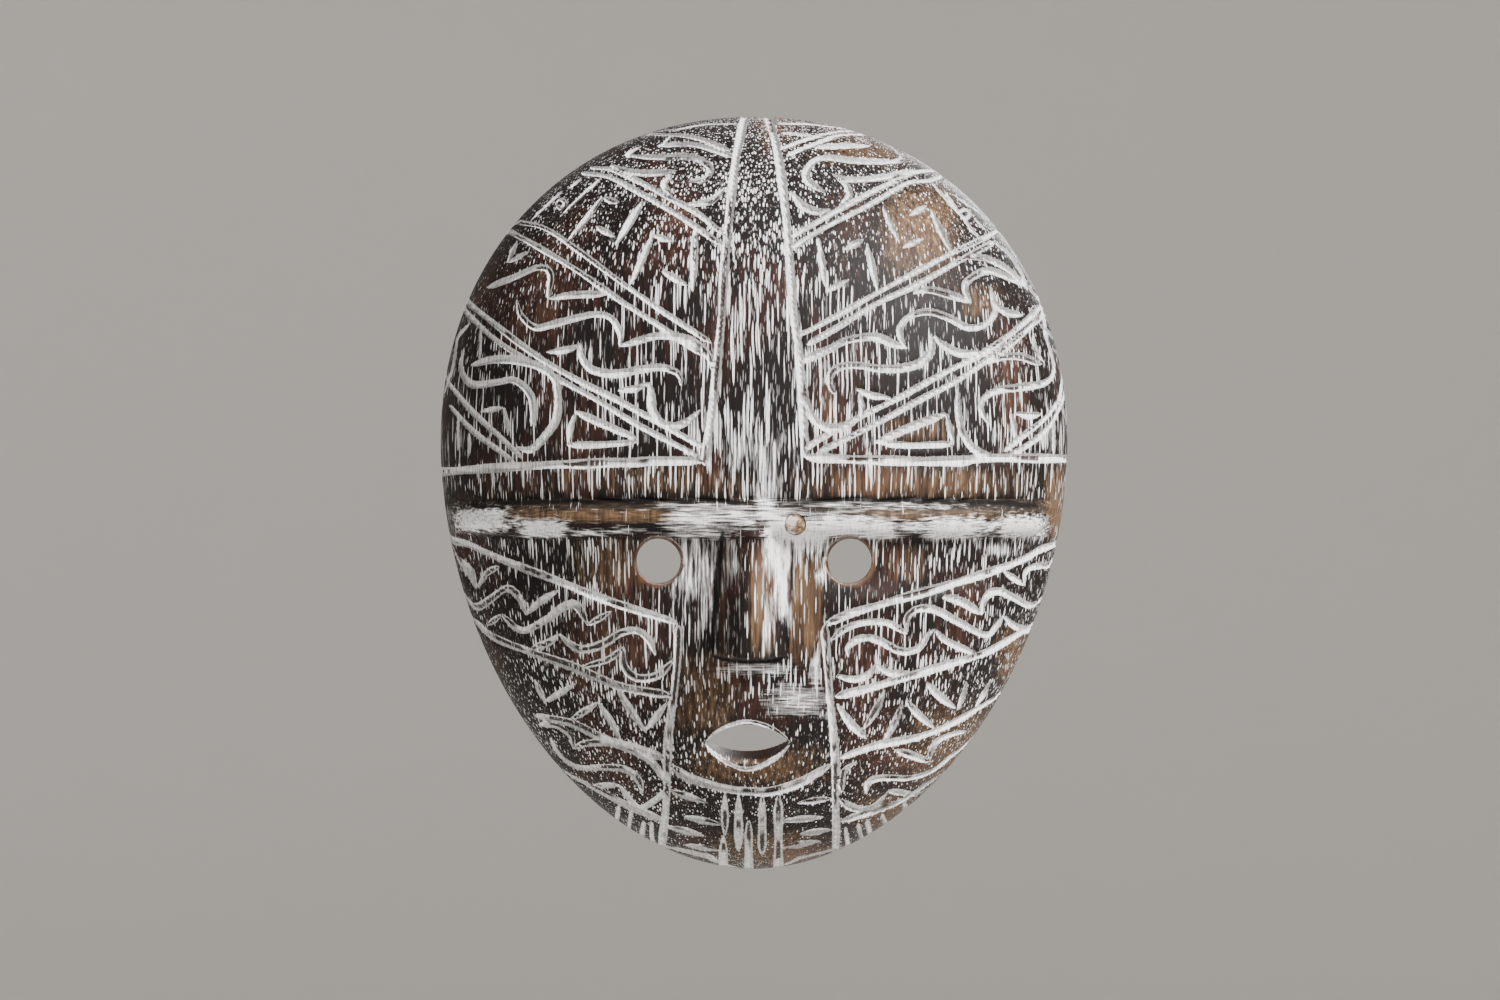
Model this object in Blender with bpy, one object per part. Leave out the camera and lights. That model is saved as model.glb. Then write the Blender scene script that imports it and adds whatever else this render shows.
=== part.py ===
"""A carved wooden wall mask with the ring hanger let into its back.

The mask is one hollowed block of wood: an egg-shaped dome with a brow bar, a wedge nose, two drilled
eyes and an almond mouth. The crown is left solid behind, and a pocket in it holds a pressed steel
plate, its swinging D-ring and two screws. A wooden plug fills a bore beside the root of the nose.

Frame, in metres: +Z up, +X to the viewer's right, the carved face looks along -Y and y = 0 is the
wall. The origin is the point on the wall that the hook stands at: the inside of the ring, turned up.
"""
import math

import bmesh
import bpy
from mathutils import Matrix, Vector

# The block and its hollow.
WIDTH = 0.250
HEIGHT = 0.300
CROWN_TO_BELLY = 0.130  # the widest level, below the crown
DEPTH = 0.084
CROWN_FULLNESS = 2.1  # superellipse exponents: 2 is an ellipse, and more is squarer
CHIN_FULLNESS = 1.9
DOME_FULLNESS = 2.2
CROWN_ABOVE_HOOK = 0.015
RIM_WALL = 0.012
FACE_WALL = 0.014
PAST = 0.010  # how far a cutter runs past the wood

# The face. Levels are measured down from the belly.
EYE_RADIUS = 0.0085
EYE_SPACING = 0.073
EYE_LEVEL = 0.046
BROW_RADIUS = 0.0075
BROW_PROUD = 0.0042
BROW_LEVEL = 0.0300
BROW_END_MARGIN = 0.0070  # wood between the end of the bar and the edge of the mask
BROW_END_RADIUS = 0.0040
SOCKET_LEVEL = 0.0470
SOCKET_RADIUS = 0.0300  # the cove under the brow that both eyes sit in
SOCKET_SINK = 0.0030
SOCKET_END_MARGIN = 0.0120
NOSE_TOP_BELOW_BROW = -0.0030
NOSE_LENGTH = 0.0550
NOSE_TOP_HALF = 0.0115
NOSE_BASE_HALF = 0.0168
NOSE_RIDGE_SHARE = 0.45  # the ridge's width as a share of the base's
NOSE_TOP_PROUD = 0.0046
NOSE_TIP_PROUD = 0.0165
NOSE_ROUNDING = 0.0045
MOUTH_LEVEL = 0.1155
MOUTH_HALF_LENGTH = 0.0174
MOUTH_UPPER_RISE = 0.0069
MOUTH_LOWER_DROP = 0.0094
MOUTH_BACK_DROP = 0.0036  # the lower lip slopes up to this behind the wall

# The plug.
PLUG_RADIUS = 0.0038
PLUG_LENGTH = 0.0100
PLUG_X = 0.0155
PLUG_BELOW_BROW = 0.0020

# The hanger. Pieces that touch keep the seat gap, and the ring turns in the running gap.
SEAT_GAP = 0.0003
RUNNING_GAP = 0.0003
RING_WIRE = 0.0022
RING_HALF_WIDTH = 0.0072
RING_CORNER = 0.0020
RING_ARM = 0.0040
PLATE_THICKNESS = 0.0012
PLATE_HEIGHT = 0.0120
PLATE_CORNER = 0.0025
PLATE_SIDE_MARGIN = 0.0050
TONGUE_WIDTH = 0.0080
TONGUE_NECK = 0.0010  # tongue that shows between the plate and the eye
ROLL_ANGLE = math.radians(290)
SCREW_RADIUS = 0.0014
SCREW_LENGTH = 0.0120
SCREW_POINT = 0.0030
HEAD_RADIUS = 0.0030
HEAD_HEIGHT = 0.0019
HEAD_TO_RING = 0.0007
SLOT_WIDTH = 0.0008
SLOT_DEPTH = 0.0010
POCKET_MARGIN = 0.0020
POCKET_CORNER = 0.0040
BELOW_THE_WALL = 0.0010  # how far the hanger stays behind the wall plane
LEDGE_MARGIN = 0.0050  # wood under the pocket

# Facets.
SPOKES = 80
DOME_RINGS = 17
HOLLOW_SPOKES = 56
HOLLOW_RINGS = 11
HOLE_SIDES = 32
SCREW_SIDES = 18

# What follows from the sizes above.
BELLY_Z = CROWN_ABOVE_HOOK - CROWN_TO_BELLY
BELLY_TO_CHIN = HEIGHT - CROWN_TO_BELLY
EYE_Z = BELLY_Z - EYE_LEVEL
BROW_Z = BELLY_Z - BROW_LEVEL
MOUTH_Z = BELLY_Z - MOUTH_LEVEL
WIRE_RADIUS = RING_WIRE / 2
EYE_INNER = WIRE_RADIUS + RUNNING_GAP
EYE_OUTER = EYE_INNER + PLATE_THICKNESS
RING_INSIDE = RING_ARM + RING_HALF_WIDTH - WIRE_RADIUS
PIVOT_Z = -RING_INSIDE
STACK = SEAT_GAP + max(2 * EYE_OUTER, PLATE_THICKNESS + SEAT_GAP + HEAD_HEIGHT)
POCKET_DEPTH = STACK + BELOW_THE_WALL
PLATE_BACK_Y = -POCKET_DEPTH + SEAT_GAP
PIVOT_Y = PLATE_BACK_Y + EYE_OUTER
PLATE_TOP_Z = PIVOT_Z - EYE_OUTER - TONGUE_NECK
PLATE_BOTTOM_Z = PLATE_TOP_Z - PLATE_HEIGHT
SCREW_X = RING_HALF_WIDTH + WIRE_RADIUS + HEAD_TO_RING + HEAD_RADIUS
SCREW_Z = (PLATE_TOP_Z + PLATE_BOTTOM_Z) / 2
PLATE_HALF_WIDTH = SCREW_X + PLATE_SIDE_MARGIN
POCKET_HALF_WIDTH = PLATE_HALF_WIDTH + POCKET_MARGIN
POCKET_TOP_Z = WIRE_RADIUS * 2 + POCKET_MARGIN
POCKET_BOTTOM_Z = PLATE_BOTTOM_Z - POCKET_MARGIN
LEDGE_Z = POCKET_BOTTOM_Z - LEDGE_MARGIN


def signed_power(value, exponent):
    return math.copysign(abs(value) ** exponent, value)


def fullness_and_reach(above, crown, chin):
    """The outline's exponent and its half height, above or below the belly."""
    return (CROWN_FULLNESS, crown) if above >= 0 else (CHIN_FULLNESS, chin)


def surface(x, z):
    """The outer dome's point at x and z, before any relief."""
    fullness, reach = fullness_and_reach(z - BELLY_Z, CROWN_TO_BELLY, BELLY_TO_CHIN)
    out = abs(2 * x / WIDTH) ** fullness + abs((z - BELLY_Z) / reach) ** fullness
    radius = min(out ** (1 / fullness), 1.0)
    return Vector((x, -DEPTH * (1 - radius**DOME_FULLNESS) ** (1 / DOME_FULLNESS), z))


def surface_normal(x, z):
    step = 0.0005
    across = surface(x + step, z) - surface(x - step, z)
    up = surface(x, z + step) - surface(x, z - step)
    return across.cross(up).normalized()


def outline_half_width(z):
    fullness, reach = fullness_and_reach(z - BELLY_Z, CROWN_TO_BELLY, BELLY_TO_CHIN)
    return WIDTH / 2 * (1 - abs((z - BELLY_Z) / reach) ** fullness) ** (1 / fullness)


def add_object(name, data, location=(0, 0, 0)):
    made = bpy.data.objects.new(name, data)
    made.location = location
    bpy.context.scene.collection.objects.link(made)
    return made


def mesh_object(name, bm, location=(0, 0, 0)):
    """Turns a finished bmesh into an object, its faces outwards and its soft edges smooth."""
    bmesh.ops.recalc_face_normals(bm, faces=bm.faces)
    mesh = bpy.data.meshes.new(name)
    bm.to_mesh(mesh)
    bm.free()
    mesh.shade_smooth()
    mesh.set_sharp_from_angle(angle=math.radians(35))
    return add_object(name, mesh, location)


def helper(made):
    """Marks an object as a cutter or guide that isn't part of the mask."""
    made.hide_render = True
    made.display_type = "WIRE"
    return made


def boolean(target, operation, tool):
    modifier = target.modifiers.new(f"{operation.lower()} {tool.name}", "BOOLEAN")
    modifier.operation = operation
    modifier.object = helper(tool)
    return modifier


def paint(made, name, colour, roughness, metallic=0.0):
    material = bpy.data.materials.get(name) or bpy.data.materials.new(name)
    material.use_nodes = True
    shader = material.node_tree.nodes["Principled BSDF"]
    shader.inputs["Base Color"].default_value = (*colour, 1.0)
    shader.inputs["Roughness"].default_value = roughness
    shader.inputs["Metallic"].default_value = metallic
    made.data.materials.append(material)


def egg_dome(name, half_width, crown, chin, depth, spokes, rings, past=0.0):
    """A half egg on the wall plane, shaped from a sphere. Its base is carried on past the wall."""
    bm = bmesh.new()
    bmesh.ops.create_uvsphere(bm, u_segments=spokes, v_segments=2 * rings, radius=1.0)
    behind = [vert for vert in bm.verts if vert.co.z < -1e-4]
    bmesh.ops.delete(bm, geom=behind, context="VERTS")
    for vert in bm.verts:
        across, up, forward = vert.co
        spread = math.hypot(across, up)
        radius = spread ** (2 / DOME_FULLNESS)
        out = depth * max(forward, 0.0) ** (2 / DOME_FULLNESS)
        fullness, reach = fullness_and_reach(up, crown, chin)
        turn = (across / spread, up / spread) if spread > 1e-6 else (0.0, 0.0)
        x = half_width * signed_power(turn[0], 2 / fullness) * radius
        z = reach * signed_power(turn[1], 2 / fullness) * radius
        vert.co = (x, -out, BELLY_Z + z)
    rim = [edge for edge in bm.edges if edge.is_boundary]
    if past:
        grown = bmesh.ops.extrude_edge_only(bm, edges=rim)["geom"]
        verts = [item for item in grown if isinstance(item, bmesh.types.BMVert)]
        bmesh.ops.translate(bm, verts=verts, vec=(0, past, 0))
        rim = [item for item in grown if isinstance(item, bmesh.types.BMEdge)]
    bmesh.ops.edgeloop_fill(bm, edges=rim)
    return mesh_object(name, bm)


def box(name, low, high, round_along=None, corner=0.0):
    """A block between two corners. Its edges along one axis, 0 to 2, can be rounded."""
    bm = bmesh.new()
    bmesh.ops.create_cube(bm, size=1.0)
    middle = (Vector(low) + Vector(high)) / 2
    bmesh.ops.scale(bm, verts=bm.verts, vec=Vector(high) - Vector(low))
    bmesh.ops.translate(bm, verts=bm.verts, vec=middle)
    if round_along is not None:
        edges = []
        for edge in bm.edges:
            run = edge.verts[1].co - edge.verts[0].co
            if abs(run[round_along]) > 0.9 * run.length:
                edges.append(edge)
        bmesh.ops.bevel(bm, geom=edges, offset=corner, affect="EDGES", segments=4, profile=0.5)
    return mesh_object(name, bm)


def rod(name, radius, start, end, sides=HOLE_SIDES):
    """A round bar between two points that lie on a line along Y."""
    bm = bmesh.new()
    length = (Vector(end) - Vector(start)).length
    bmesh.ops.create_cone(
        bm, cap_ends=True, segments=sides, radius1=radius, radius2=radius, depth=length
    )
    bmesh.ops.rotate(bm, verts=bm.verts, matrix=Matrix.Rotation(math.radians(90), 3, "X"))
    bmesh.ops.translate(bm, verts=bm.verts, vec=(Vector(start) + Vector(end)) / 2)
    return mesh_object(name, bm)


def bar_along_dome(name, level, margin, sides, section):
    """A round bar that follows the dome from side to side at one level.

    section(end) gives its radius and how far out of the dome its middle is. end is 0 along the bar
    and rises to 1 at its two tips.
    """
    half = outline_half_width(level) - margin
    count = 30
    bm = bmesh.new()
    rings = []
    for number in range(count + 1):
        share = math.sin(math.pi / 2 * (2 * number / count - 1))
        end = max(0.0, (abs(share) - 0.9) / 0.1) ** 2
        radius, out = section(end)
        x = half * share
        normal = surface_normal(x, level)
        middle = surface(x, level) + normal * out
        along = (surface(x + 0.0005, level) - surface(x - 0.0005, level)).normalized()
        upward = normal.cross(along).normalized()
        ring = []
        for side in range(sides):
            angle = 2 * math.pi * side / sides
            spoke = normal * math.cos(angle) + upward * math.sin(angle)
            ring.append(bm.verts.new(middle + spoke * radius))
        rings.append(ring)
    for ring, following in zip(rings, rings[1:]):
        for side in range(sides):
            after = (side + 1) % sides
            bm.faces.new((ring[side], ring[after], following[after], following[side]))
    bm.faces.new(rings[0])
    bm.faces.new(rings[-1])
    return mesh_object(name, bm)


def brow_bar():
    """A round bar sunk in the dome along the brow, thinner at its ends."""
    def section(end):
        radius = BROW_RADIUS + (BROW_END_RADIUS - BROW_RADIUS) * end
        return radius, BROW_PROUD * (1 - end) - radius

    return bar_along_dome("brow_bar", BROW_Z, BROW_END_MARGIN, 24, section)


def socket_cove():
    """A wide bar that lies mostly outside the dome, to scoop the wood out from under the brow."""
    def section(end):
        return SOCKET_RADIUS, SOCKET_RADIUS - SOCKET_SINK * (1 - end)

    return bar_along_dome("socket_cove", BELLY_Z - SOCKET_LEVEL, SOCKET_END_MARGIN, 48, section)


def nose_wedge():
    """A wedge that widens and stands further out towards its tip, with a rounded ridge."""
    top_z = BROW_Z - NOSE_TOP_BELOW_BROW
    tip_z = top_z - NOSE_LENGTH
    sunk = 0.006
    bm = bmesh.new()
    bmesh.ops.create_cube(bm, size=2.0)
    for vert in bm.verts:
        side, front, above = vert.co.x, vert.co.y < 0, vert.co.z > 0
        level = top_z if above else tip_z
        half = NOSE_TOP_HALF if above else NOSE_BASE_HALF
        proud = NOSE_TOP_PROUD if above else NOSE_TIP_PROUD
        wall = surface(0, level).y
        y = wall - proud if front else wall + sunk
        width = half * (NOSE_RIDGE_SHARE if front else 1.0)
        vert.co = (side * width, y, level)
    front_edges = []
    for edge in bm.edges:
        ahead = all(vert.co.y < surface(0, vert.co.z).y for vert in edge.verts)
        down = abs(edge.verts[0].co.z - edge.verts[1].co.z) > NOSE_LENGTH / 2
        if ahead and down:
            front_edges.append(edge)
    bmesh.ops.bevel(
        bm, geom=front_edges, offset=NOSE_ROUNDING, affect="EDGES", segments=4, profile=0.5
    )
    return mesh_object("nose_wedge", bm)


def lip_arc(drop, sides=14):
    """Points of a circular arc between the mouth's corners, drop being its height, up or down."""
    height = abs(drop)
    radius = (MOUTH_HALF_LENGTH**2 + height**2) / (2 * height)
    sweep = math.asin(MOUTH_HALF_LENGTH / radius)
    points = []
    for number in range(sides + 1):
        angle = sweep * (1 - 2 * number / sides)
        rise = radius * math.cos(angle) - (radius - height)
        points.append((radius * math.sin(angle), math.copysign(rise, drop)))
    return points


def mouth_cutter():
    """An almond prism. Its lower side slopes up towards the hollow, so that the lower lip shows."""
    front_y = surface(0, MOUTH_Z).y - PAST
    back_y = surface(0, MOUTH_Z).y + FACE_WALL + PAST
    slope_start = surface(0, MOUTH_Z).y
    wall = FACE_WALL
    upper = lip_arc(MOUTH_UPPER_RISE)
    bm = bmesh.new()
    rings = []
    for y in (front_y, back_y):
        depth_share = (y - slope_start) / wall
        drop = MOUTH_LOWER_DROP + (MOUTH_BACK_DROP - MOUTH_LOWER_DROP) * depth_share
        lower = lip_arc(-max(drop, MOUTH_BACK_DROP / 2))
        outline = upper + lower[::-1][1:-1]
        rings.append([bm.verts.new((x, y, MOUTH_Z + z)) for x, z in outline])
    faces = [bm.faces.new(ring) for ring in rings]
    edges = [edge for face in faces for edge in face.edges]
    bmesh.ops.bridge_loops(bm, edges=edges)
    return mesh_object("mouth_cutter", bm)


def carved_block():
    """The solid block with its relief, before it is hollowed and pierced."""
    block = egg_dome(
        "block", WIDTH / 2, CROWN_TO_BELLY, BELLY_TO_CHIN, DEPTH, SPOKES, DOME_RINGS
    )
    boolean(block, "DIFFERENCE", socket_cove())
    boolean(block, "UNION", brow_bar())
    boolean(block, "UNION", nose_wedge())
    return helper(block)


def evaluated_mesh(made):
    graph = bpy.context.evaluated_depsgraph_get()
    return bpy.data.meshes.new_from_object(made.evaluated_get(graph))


def hollow_cutter():
    """The hollow's egg, cut off level under the solid ledge that carries the hanger."""
    hollow = egg_dome(
        "hollow",
        WIDTH / 2 - RIM_WALL,
        CROWN_TO_BELLY - RIM_WALL,
        BELLY_TO_CHIN - RIM_WALL,
        DEPTH - FACE_WALL,
        HOLLOW_SPOKES,
        HOLLOW_RINGS,
        PAST,
    )
    bm = bmesh.new()
    bm.from_mesh(hollow.data)
    everything = bm.verts[:] + bm.edges[:] + bm.faces[:]
    cut = bmesh.ops.bisect_plane(
        bm, geom=everything, plane_co=(0, 0, LEDGE_Z), plane_no=(0, 0, 1), clear_outer=True
    )
    edges = [item for item in cut["geom_cut"] if isinstance(item, bmesh.types.BMEdge)]
    bmesh.ops.edgeloop_fill(bm, edges=edges)
    bmesh.ops.recalc_face_normals(bm, faces=bm.faces)
    bm.to_mesh(hollow.data)
    bm.free()
    return hollow


def mask_shell(block):
    """The hollowed, pierced mask, with the pocket and the bores that its other pieces sit in."""
    shell = add_object("mask_shell", evaluated_mesh(block))
    boolean(shell, "DIFFERENCE", hollow_cutter())
    eye_front = surface(EYE_SPACING / 2, EYE_Z).y - PAST
    eye_back = surface(EYE_SPACING / 2, EYE_Z).y + FACE_WALL + PAST
    for name, side in (("left", -1), ("right", 1)):
        x = side * EYE_SPACING / 2
        eye = rod(f"eye_{name}", EYE_RADIUS, (x, eye_front, EYE_Z), (x, eye_back, EYE_Z))
        boolean(shell, "DIFFERENCE", eye)
    boolean(shell, "DIFFERENCE", mouth_cutter())
    pocket = box(
        "pocket",
        (-POCKET_HALF_WIDTH, -POCKET_DEPTH, POCKET_BOTTOM_Z),
        (POCKET_HALF_WIDTH, PAST, POCKET_TOP_Z),
        round_along=1,
        corner=POCKET_CORNER,
    )
    boolean(shell, "DIFFERENCE", pocket)
    bore_radius = SCREW_RADIUS + SEAT_GAP
    for name, side in (("left", -1), ("right", 1)):
        x = side * SCREW_X
        bottom = -POCKET_DEPTH - SCREW_LENGTH
        pilot = rod(
            f"pilot_{name}", bore_radius, (x, bottom, SCREW_Z), (x, 0, SCREW_Z), SCREW_SIDES
        )
        boolean(shell, "DIFFERENCE", pilot)
    plug_back = plug_front_y() + PLUG_LENGTH + SEAT_GAP
    bore = rod(
        "plug_bore",
        PLUG_RADIUS + SEAT_GAP,
        (PLUG_X, plug_front_y() - NOSE_TIP_PROUD - PAST, plug_z()),
        (PLUG_X, plug_back, plug_z()),
    )
    boolean(shell, "DIFFERENCE", bore)
    return shell


def plug_z():
    return BROW_Z - PLUG_BELOW_BROW


def plug_front_y():
    return surface(PLUG_X, plug_z()).y - BROW_PROUD


def brow_plug(block):
    """A dowel cut off flush with the carved surface."""
    x, z = PLUG_X, plug_z()
    plug = rod(
        "brow_plug",
        PLUG_RADIUS,
        (x, plug_front_y() - NOSE_TIP_PROUD - PAST, z),
        (x, plug_front_y() + PLUG_LENGTH, z),
    )
    boolean(plug, "INTERSECT", block)
    return plug


def hanger_plate():
    """A T-shaped plate whose tongue is rolled forward into the eye that holds the ring."""
    half_tongue = TONGUE_WIDTH / 2
    right = [
        (half_tongue, PIVOT_Z),
        (half_tongue, PLATE_TOP_Z),
        (PLATE_HALF_WIDTH, PLATE_TOP_Z),
        (PLATE_HALF_WIDTH, PLATE_BOTTOM_Z),
    ]
    outline = right + [(-x, z) for x, z in reversed(right)]
    bm = bmesh.new()
    verts = [bm.verts.new((x, PLATE_BACK_Y, z)) for x, z in outline]
    bm.faces.new(verts)
    outer = [vert for vert in verts if abs(vert.co.x) > half_tongue + PLATE_CORNER]
    bmesh.ops.bevel(
        bm, geom=outer, offset=PLATE_CORNER, affect="VERTICES", segments=4, profile=0.5
    )
    grown = bmesh.ops.extrude_face_region(bm, geom=bm.faces[:])["geom"]
    moved = [item for item in grown if isinstance(item, bmesh.types.BMVert)]
    bmesh.ops.translate(bm, verts=moved, vec=(0, PLATE_THICKNESS, 0))
    end = [f for f in bm.faces if all(abs(v.co.z - PIVOT_Z) < 1e-6 for v in f.verts)]
    bmesh.ops.spin(
        bm,
        geom=end,
        cent=(0, PIVOT_Y, PIVOT_Z),
        axis=(1, 0, 0),
        angle=-ROLL_ANGLE,
        steps=16,
    )
    bmesh.ops.delete(bm, geom=[f for f in end if f.is_valid], context="FACES_ONLY")
    plate = mesh_object("hanger_plate", bm)
    for name, side in (("left", -1), ("right", 1)):
        x = side * SCREW_X
        hole = rod(
            f"hole_{name}",
            SCREW_RADIUS + SEAT_GAP,
            (x, PLATE_BACK_Y - PAST, SCREW_Z),
            (x, PLATE_BACK_Y + PAST, SCREW_Z),
            SCREW_SIDES,
        )
        boolean(plate, "DIFFERENCE", hole)
    return plate


def arc_points(centre, radius, start, end, steps):
    points = []
    for number in range(steps + 1):
        angle = math.radians(start + (end - start) * number / steps)
        x = centre[0] + radius * math.cos(angle)
        points.append((x, centre[1] + radius * math.sin(angle)))
    return points


def hanger_ring():
    """A D-ring of round wire that hangs from its straight side. Its origin is on its hinge line."""
    inset = RING_HALF_WIDTH - RING_CORNER
    points = arc_points((inset, -RING_CORNER), RING_CORNER, 90, 0, 4)
    points += arc_points((0, -RING_ARM), RING_HALF_WIDTH, 0, -180, 16)
    points += arc_points((-inset, -RING_CORNER), RING_CORNER, 180, 90, 4)
    curve = bpy.data.curves.new("hanger_ring", "CURVE")
    curve.dimensions = "3D"
    curve.bevel_depth = WIRE_RADIUS
    curve.bevel_resolution = 3
    spline = curve.splines.new("POLY")
    spline.points.add(len(points) - 1)
    for point, (x, z) in zip(spline.points, points):
        point.co = (x, 0, z, 1.0)
    spline.use_cyclic_u = True
    return add_object("hanger_ring", curve, (0, PIVOT_Y, PIVOT_Z))


def hanger_screw(name, side):
    """A slotted pan-head wood screw, turned about its axis and driven along -Y."""
    profile = [
        (0.0, -SCREW_LENGTH),
        (SCREW_RADIUS, SCREW_POINT - SCREW_LENGTH),
        (SCREW_RADIUS, 0.0),
        (HEAD_RADIUS, 0.0),
        (HEAD_RADIUS, 0.55 * HEAD_HEIGHT),
        (0.72 * HEAD_RADIUS, HEAD_HEIGHT),
        (0.0, HEAD_HEIGHT),
    ]
    bm = bmesh.new()
    verts = [bm.verts.new((radius, -height, 0)) for radius, height in profile]
    edges = [bm.edges.new(pair) for pair in zip(verts, verts[1:])]
    bmesh.ops.spin(
        bm,
        geom=verts + edges,
        cent=(0, 0, 0),
        axis=(0, 1, 0),
        angle=2 * math.pi,
        steps=SCREW_SIDES,
        use_merge=True,
    )
    bmesh.ops.remove_doubles(bm, verts=bm.verts, dist=1e-6)
    bmesh.ops.rotate(bm, verts=bm.verts, matrix=Matrix.Rotation(math.pi, 3, "Z"))
    seat_y = PLATE_BACK_Y + PLATE_THICKNESS + SEAT_GAP
    screw = mesh_object(name, bm, (side * SCREW_X, seat_y, SCREW_Z))
    slot = box(
        f"{name}_slot",
        (-HEAD_RADIUS - SEAT_GAP, HEAD_HEIGHT - SLOT_DEPTH, -SLOT_WIDTH / 2),
        (HEAD_RADIUS + SEAT_GAP, HEAD_HEIGHT + SLOT_DEPTH, SLOT_WIDTH / 2),
    )
    slot.rotation_euler = (0, side * math.radians(25), 0)
    slot.location = screw.location
    boolean(screw, "DIFFERENCE", slot)
    return screw


def main():
    for old in list(bpy.data.objects):
        bpy.data.objects.remove(old)
    block = carved_block()
    shell = mask_shell(block)
    plug = brow_plug(block)
    plate = hanger_plate()
    ring = hanger_ring()
    screws = [hanger_screw("hanger_screw_left", -1), hanger_screw("hanger_screw_right", 1)]
    paint(shell, "limed stained wood", (0.055, 0.034, 0.025), 0.62)
    paint(plug, "plug wood", (0.24, 0.15, 0.085), 0.6)
    paint(plate, "zinc plated steel", (0.60, 0.60, 0.58), 0.34, 1.0)
    paint(ring, "zinc plated steel", (0.60, 0.60, 0.58), 0.34, 1.0)
    for screw in screws:
        paint(screw, "brassed steel", (0.62, 0.47, 0.22), 0.32, 1.0)


main()
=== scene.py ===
"""The finish of the carved wooden mask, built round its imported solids.

One closed piece, carved_shell, stands for the plain shell: the same dome, brow, nose, eyes and mouth,
with the gouged ornament cut into it and lime rubbed into its pores. Lengths are in millimetres until
a mesh is written, and in metres in the materials and the studio. The ornament is drawn on the drawing
plane, which is the wall plane as the camera sees it, and is thrown from there onto the dome.
"""
import math

import bmesh
import bpy
import numpy as np
from mathutils import Matrix, Vector, noise


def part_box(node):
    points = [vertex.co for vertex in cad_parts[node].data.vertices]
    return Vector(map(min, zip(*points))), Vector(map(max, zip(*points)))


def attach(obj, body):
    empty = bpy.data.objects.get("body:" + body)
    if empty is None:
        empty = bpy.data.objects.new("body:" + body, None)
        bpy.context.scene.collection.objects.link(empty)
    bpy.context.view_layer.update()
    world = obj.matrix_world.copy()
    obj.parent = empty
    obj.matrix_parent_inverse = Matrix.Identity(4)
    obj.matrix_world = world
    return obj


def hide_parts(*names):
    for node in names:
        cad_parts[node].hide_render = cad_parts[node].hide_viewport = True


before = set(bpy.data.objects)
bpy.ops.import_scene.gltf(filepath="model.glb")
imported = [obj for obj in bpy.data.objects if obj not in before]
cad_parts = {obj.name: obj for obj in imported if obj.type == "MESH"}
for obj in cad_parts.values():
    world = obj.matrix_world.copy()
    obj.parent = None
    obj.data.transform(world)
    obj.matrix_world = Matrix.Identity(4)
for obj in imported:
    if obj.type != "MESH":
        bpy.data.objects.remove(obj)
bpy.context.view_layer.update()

MM = 0.001


def box(name):
    """A solid's low and high corners, in millimetres."""
    return [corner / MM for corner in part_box(name)]


# The viewing point, straight in front of the mask.
CAMERA = np.array((-1.6, -1500.0, -137.8))
FRAME_WIDTH = 600.0  # of what it sees at the wall
SENSOR = 36.0

# The dome, as the solid has it.
shell_low, shell_high = box("mask_shell")
HALF_WIDTH = shell_high.x
CROWN_TO_BELLY = 130.0
BELLY_Z = shell_high.z - CROWN_TO_BELLY
BELLY_TO_CHIN = BELLY_Z - shell_low.z
DEPTH = 84.0
CROWN_FULLNESS = 2.1
CHIN_FULLNESS = 1.9
DOME_FULLNESS = 2.2
RIM_WALL = 12.0
FACE_WALL = 14.0
PAST = 10.0  # how far a cutter runs on past what it cuts
OUTER = 0.86  # the dome value past which a point belongs to the face and not to the hollow

# The face.
BROW_Z = BELLY_Z - 30.0
BROW_RADIUS = 7.5
BROW_PROUD = 4.4
BROW_END_MARGIN = 7.0
BROW_ROUNDED = 0.1  # the share of its half length over which each end is rounded off
BROW_END_THINNING = 3.5
BROW_CREASE = (0.9, 0.8)  # depth and width of the groove along its top
SOCKET_Z = BELLY_Z - 47.0
SOCKET_RADIUS = 30.0
SOCKET_SINK = 3.2
SOCKET_FADE = (-18, -30)  # it fades in between these depths of the dome
NOSE_TOP_Z = BROW_Z + 2.0
NOSE_TIP_Z = BROW_Z - 51.8
NOSE_UNDERCUT = 2.0  # the length over which its under side comes back to the face
NOSE_X = -1.5
NOSE_HALF = (11.0, 15.4)  # half its width, at its top and its tip
NOSE_RIDGE_SHARE = (0.06, 0.24)  # the flat of its ridge, as a share of that, at its top and its tip
NOSE_PROUD = (4.6, 15.2)  # how far it stands out, at its top and its tip
NOSE_ROOT = 5  # the length over which its top fades into the brow
NOSE_SWELL = 1.4  # 1 gives flat sides, and more gives rounder ones
NOSE_TIP_BOW = 1.8  # how much higher its tip is at the sides than in the middle
EYE_RADIUS = 8.5
EYE_X = 36.5
EYE_Z = BELLY_Z - 46.0
MOUTH_X = -2.5
MOUTH_Z = BELLY_Z - 115.5
MOUTH_HALF_LENGTH = 16.2
MOUTH_UPPER_RISE = 6.9
MOUTH_LOWER_DROP = 9.4
MOUTH_BACK_DROP = 3.6  # the lower lip's drop at the hollow

# The hollow and the hanger's seat.
SCOOP_SIZE = 13.0
SCOOP_DEPTH = 1.6
SCOOP_SHIFT = 0.6
CLEARANCE = 0.3
POCKET_MARGIN = 2.0
POCKET_TOP = 4.2  # its level, above the hook
POCKET_CORNER = 4
LEDGE_WALL = 5.0  # under the pocket
SCREW_BORE_RADIUS = 1.7

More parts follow.
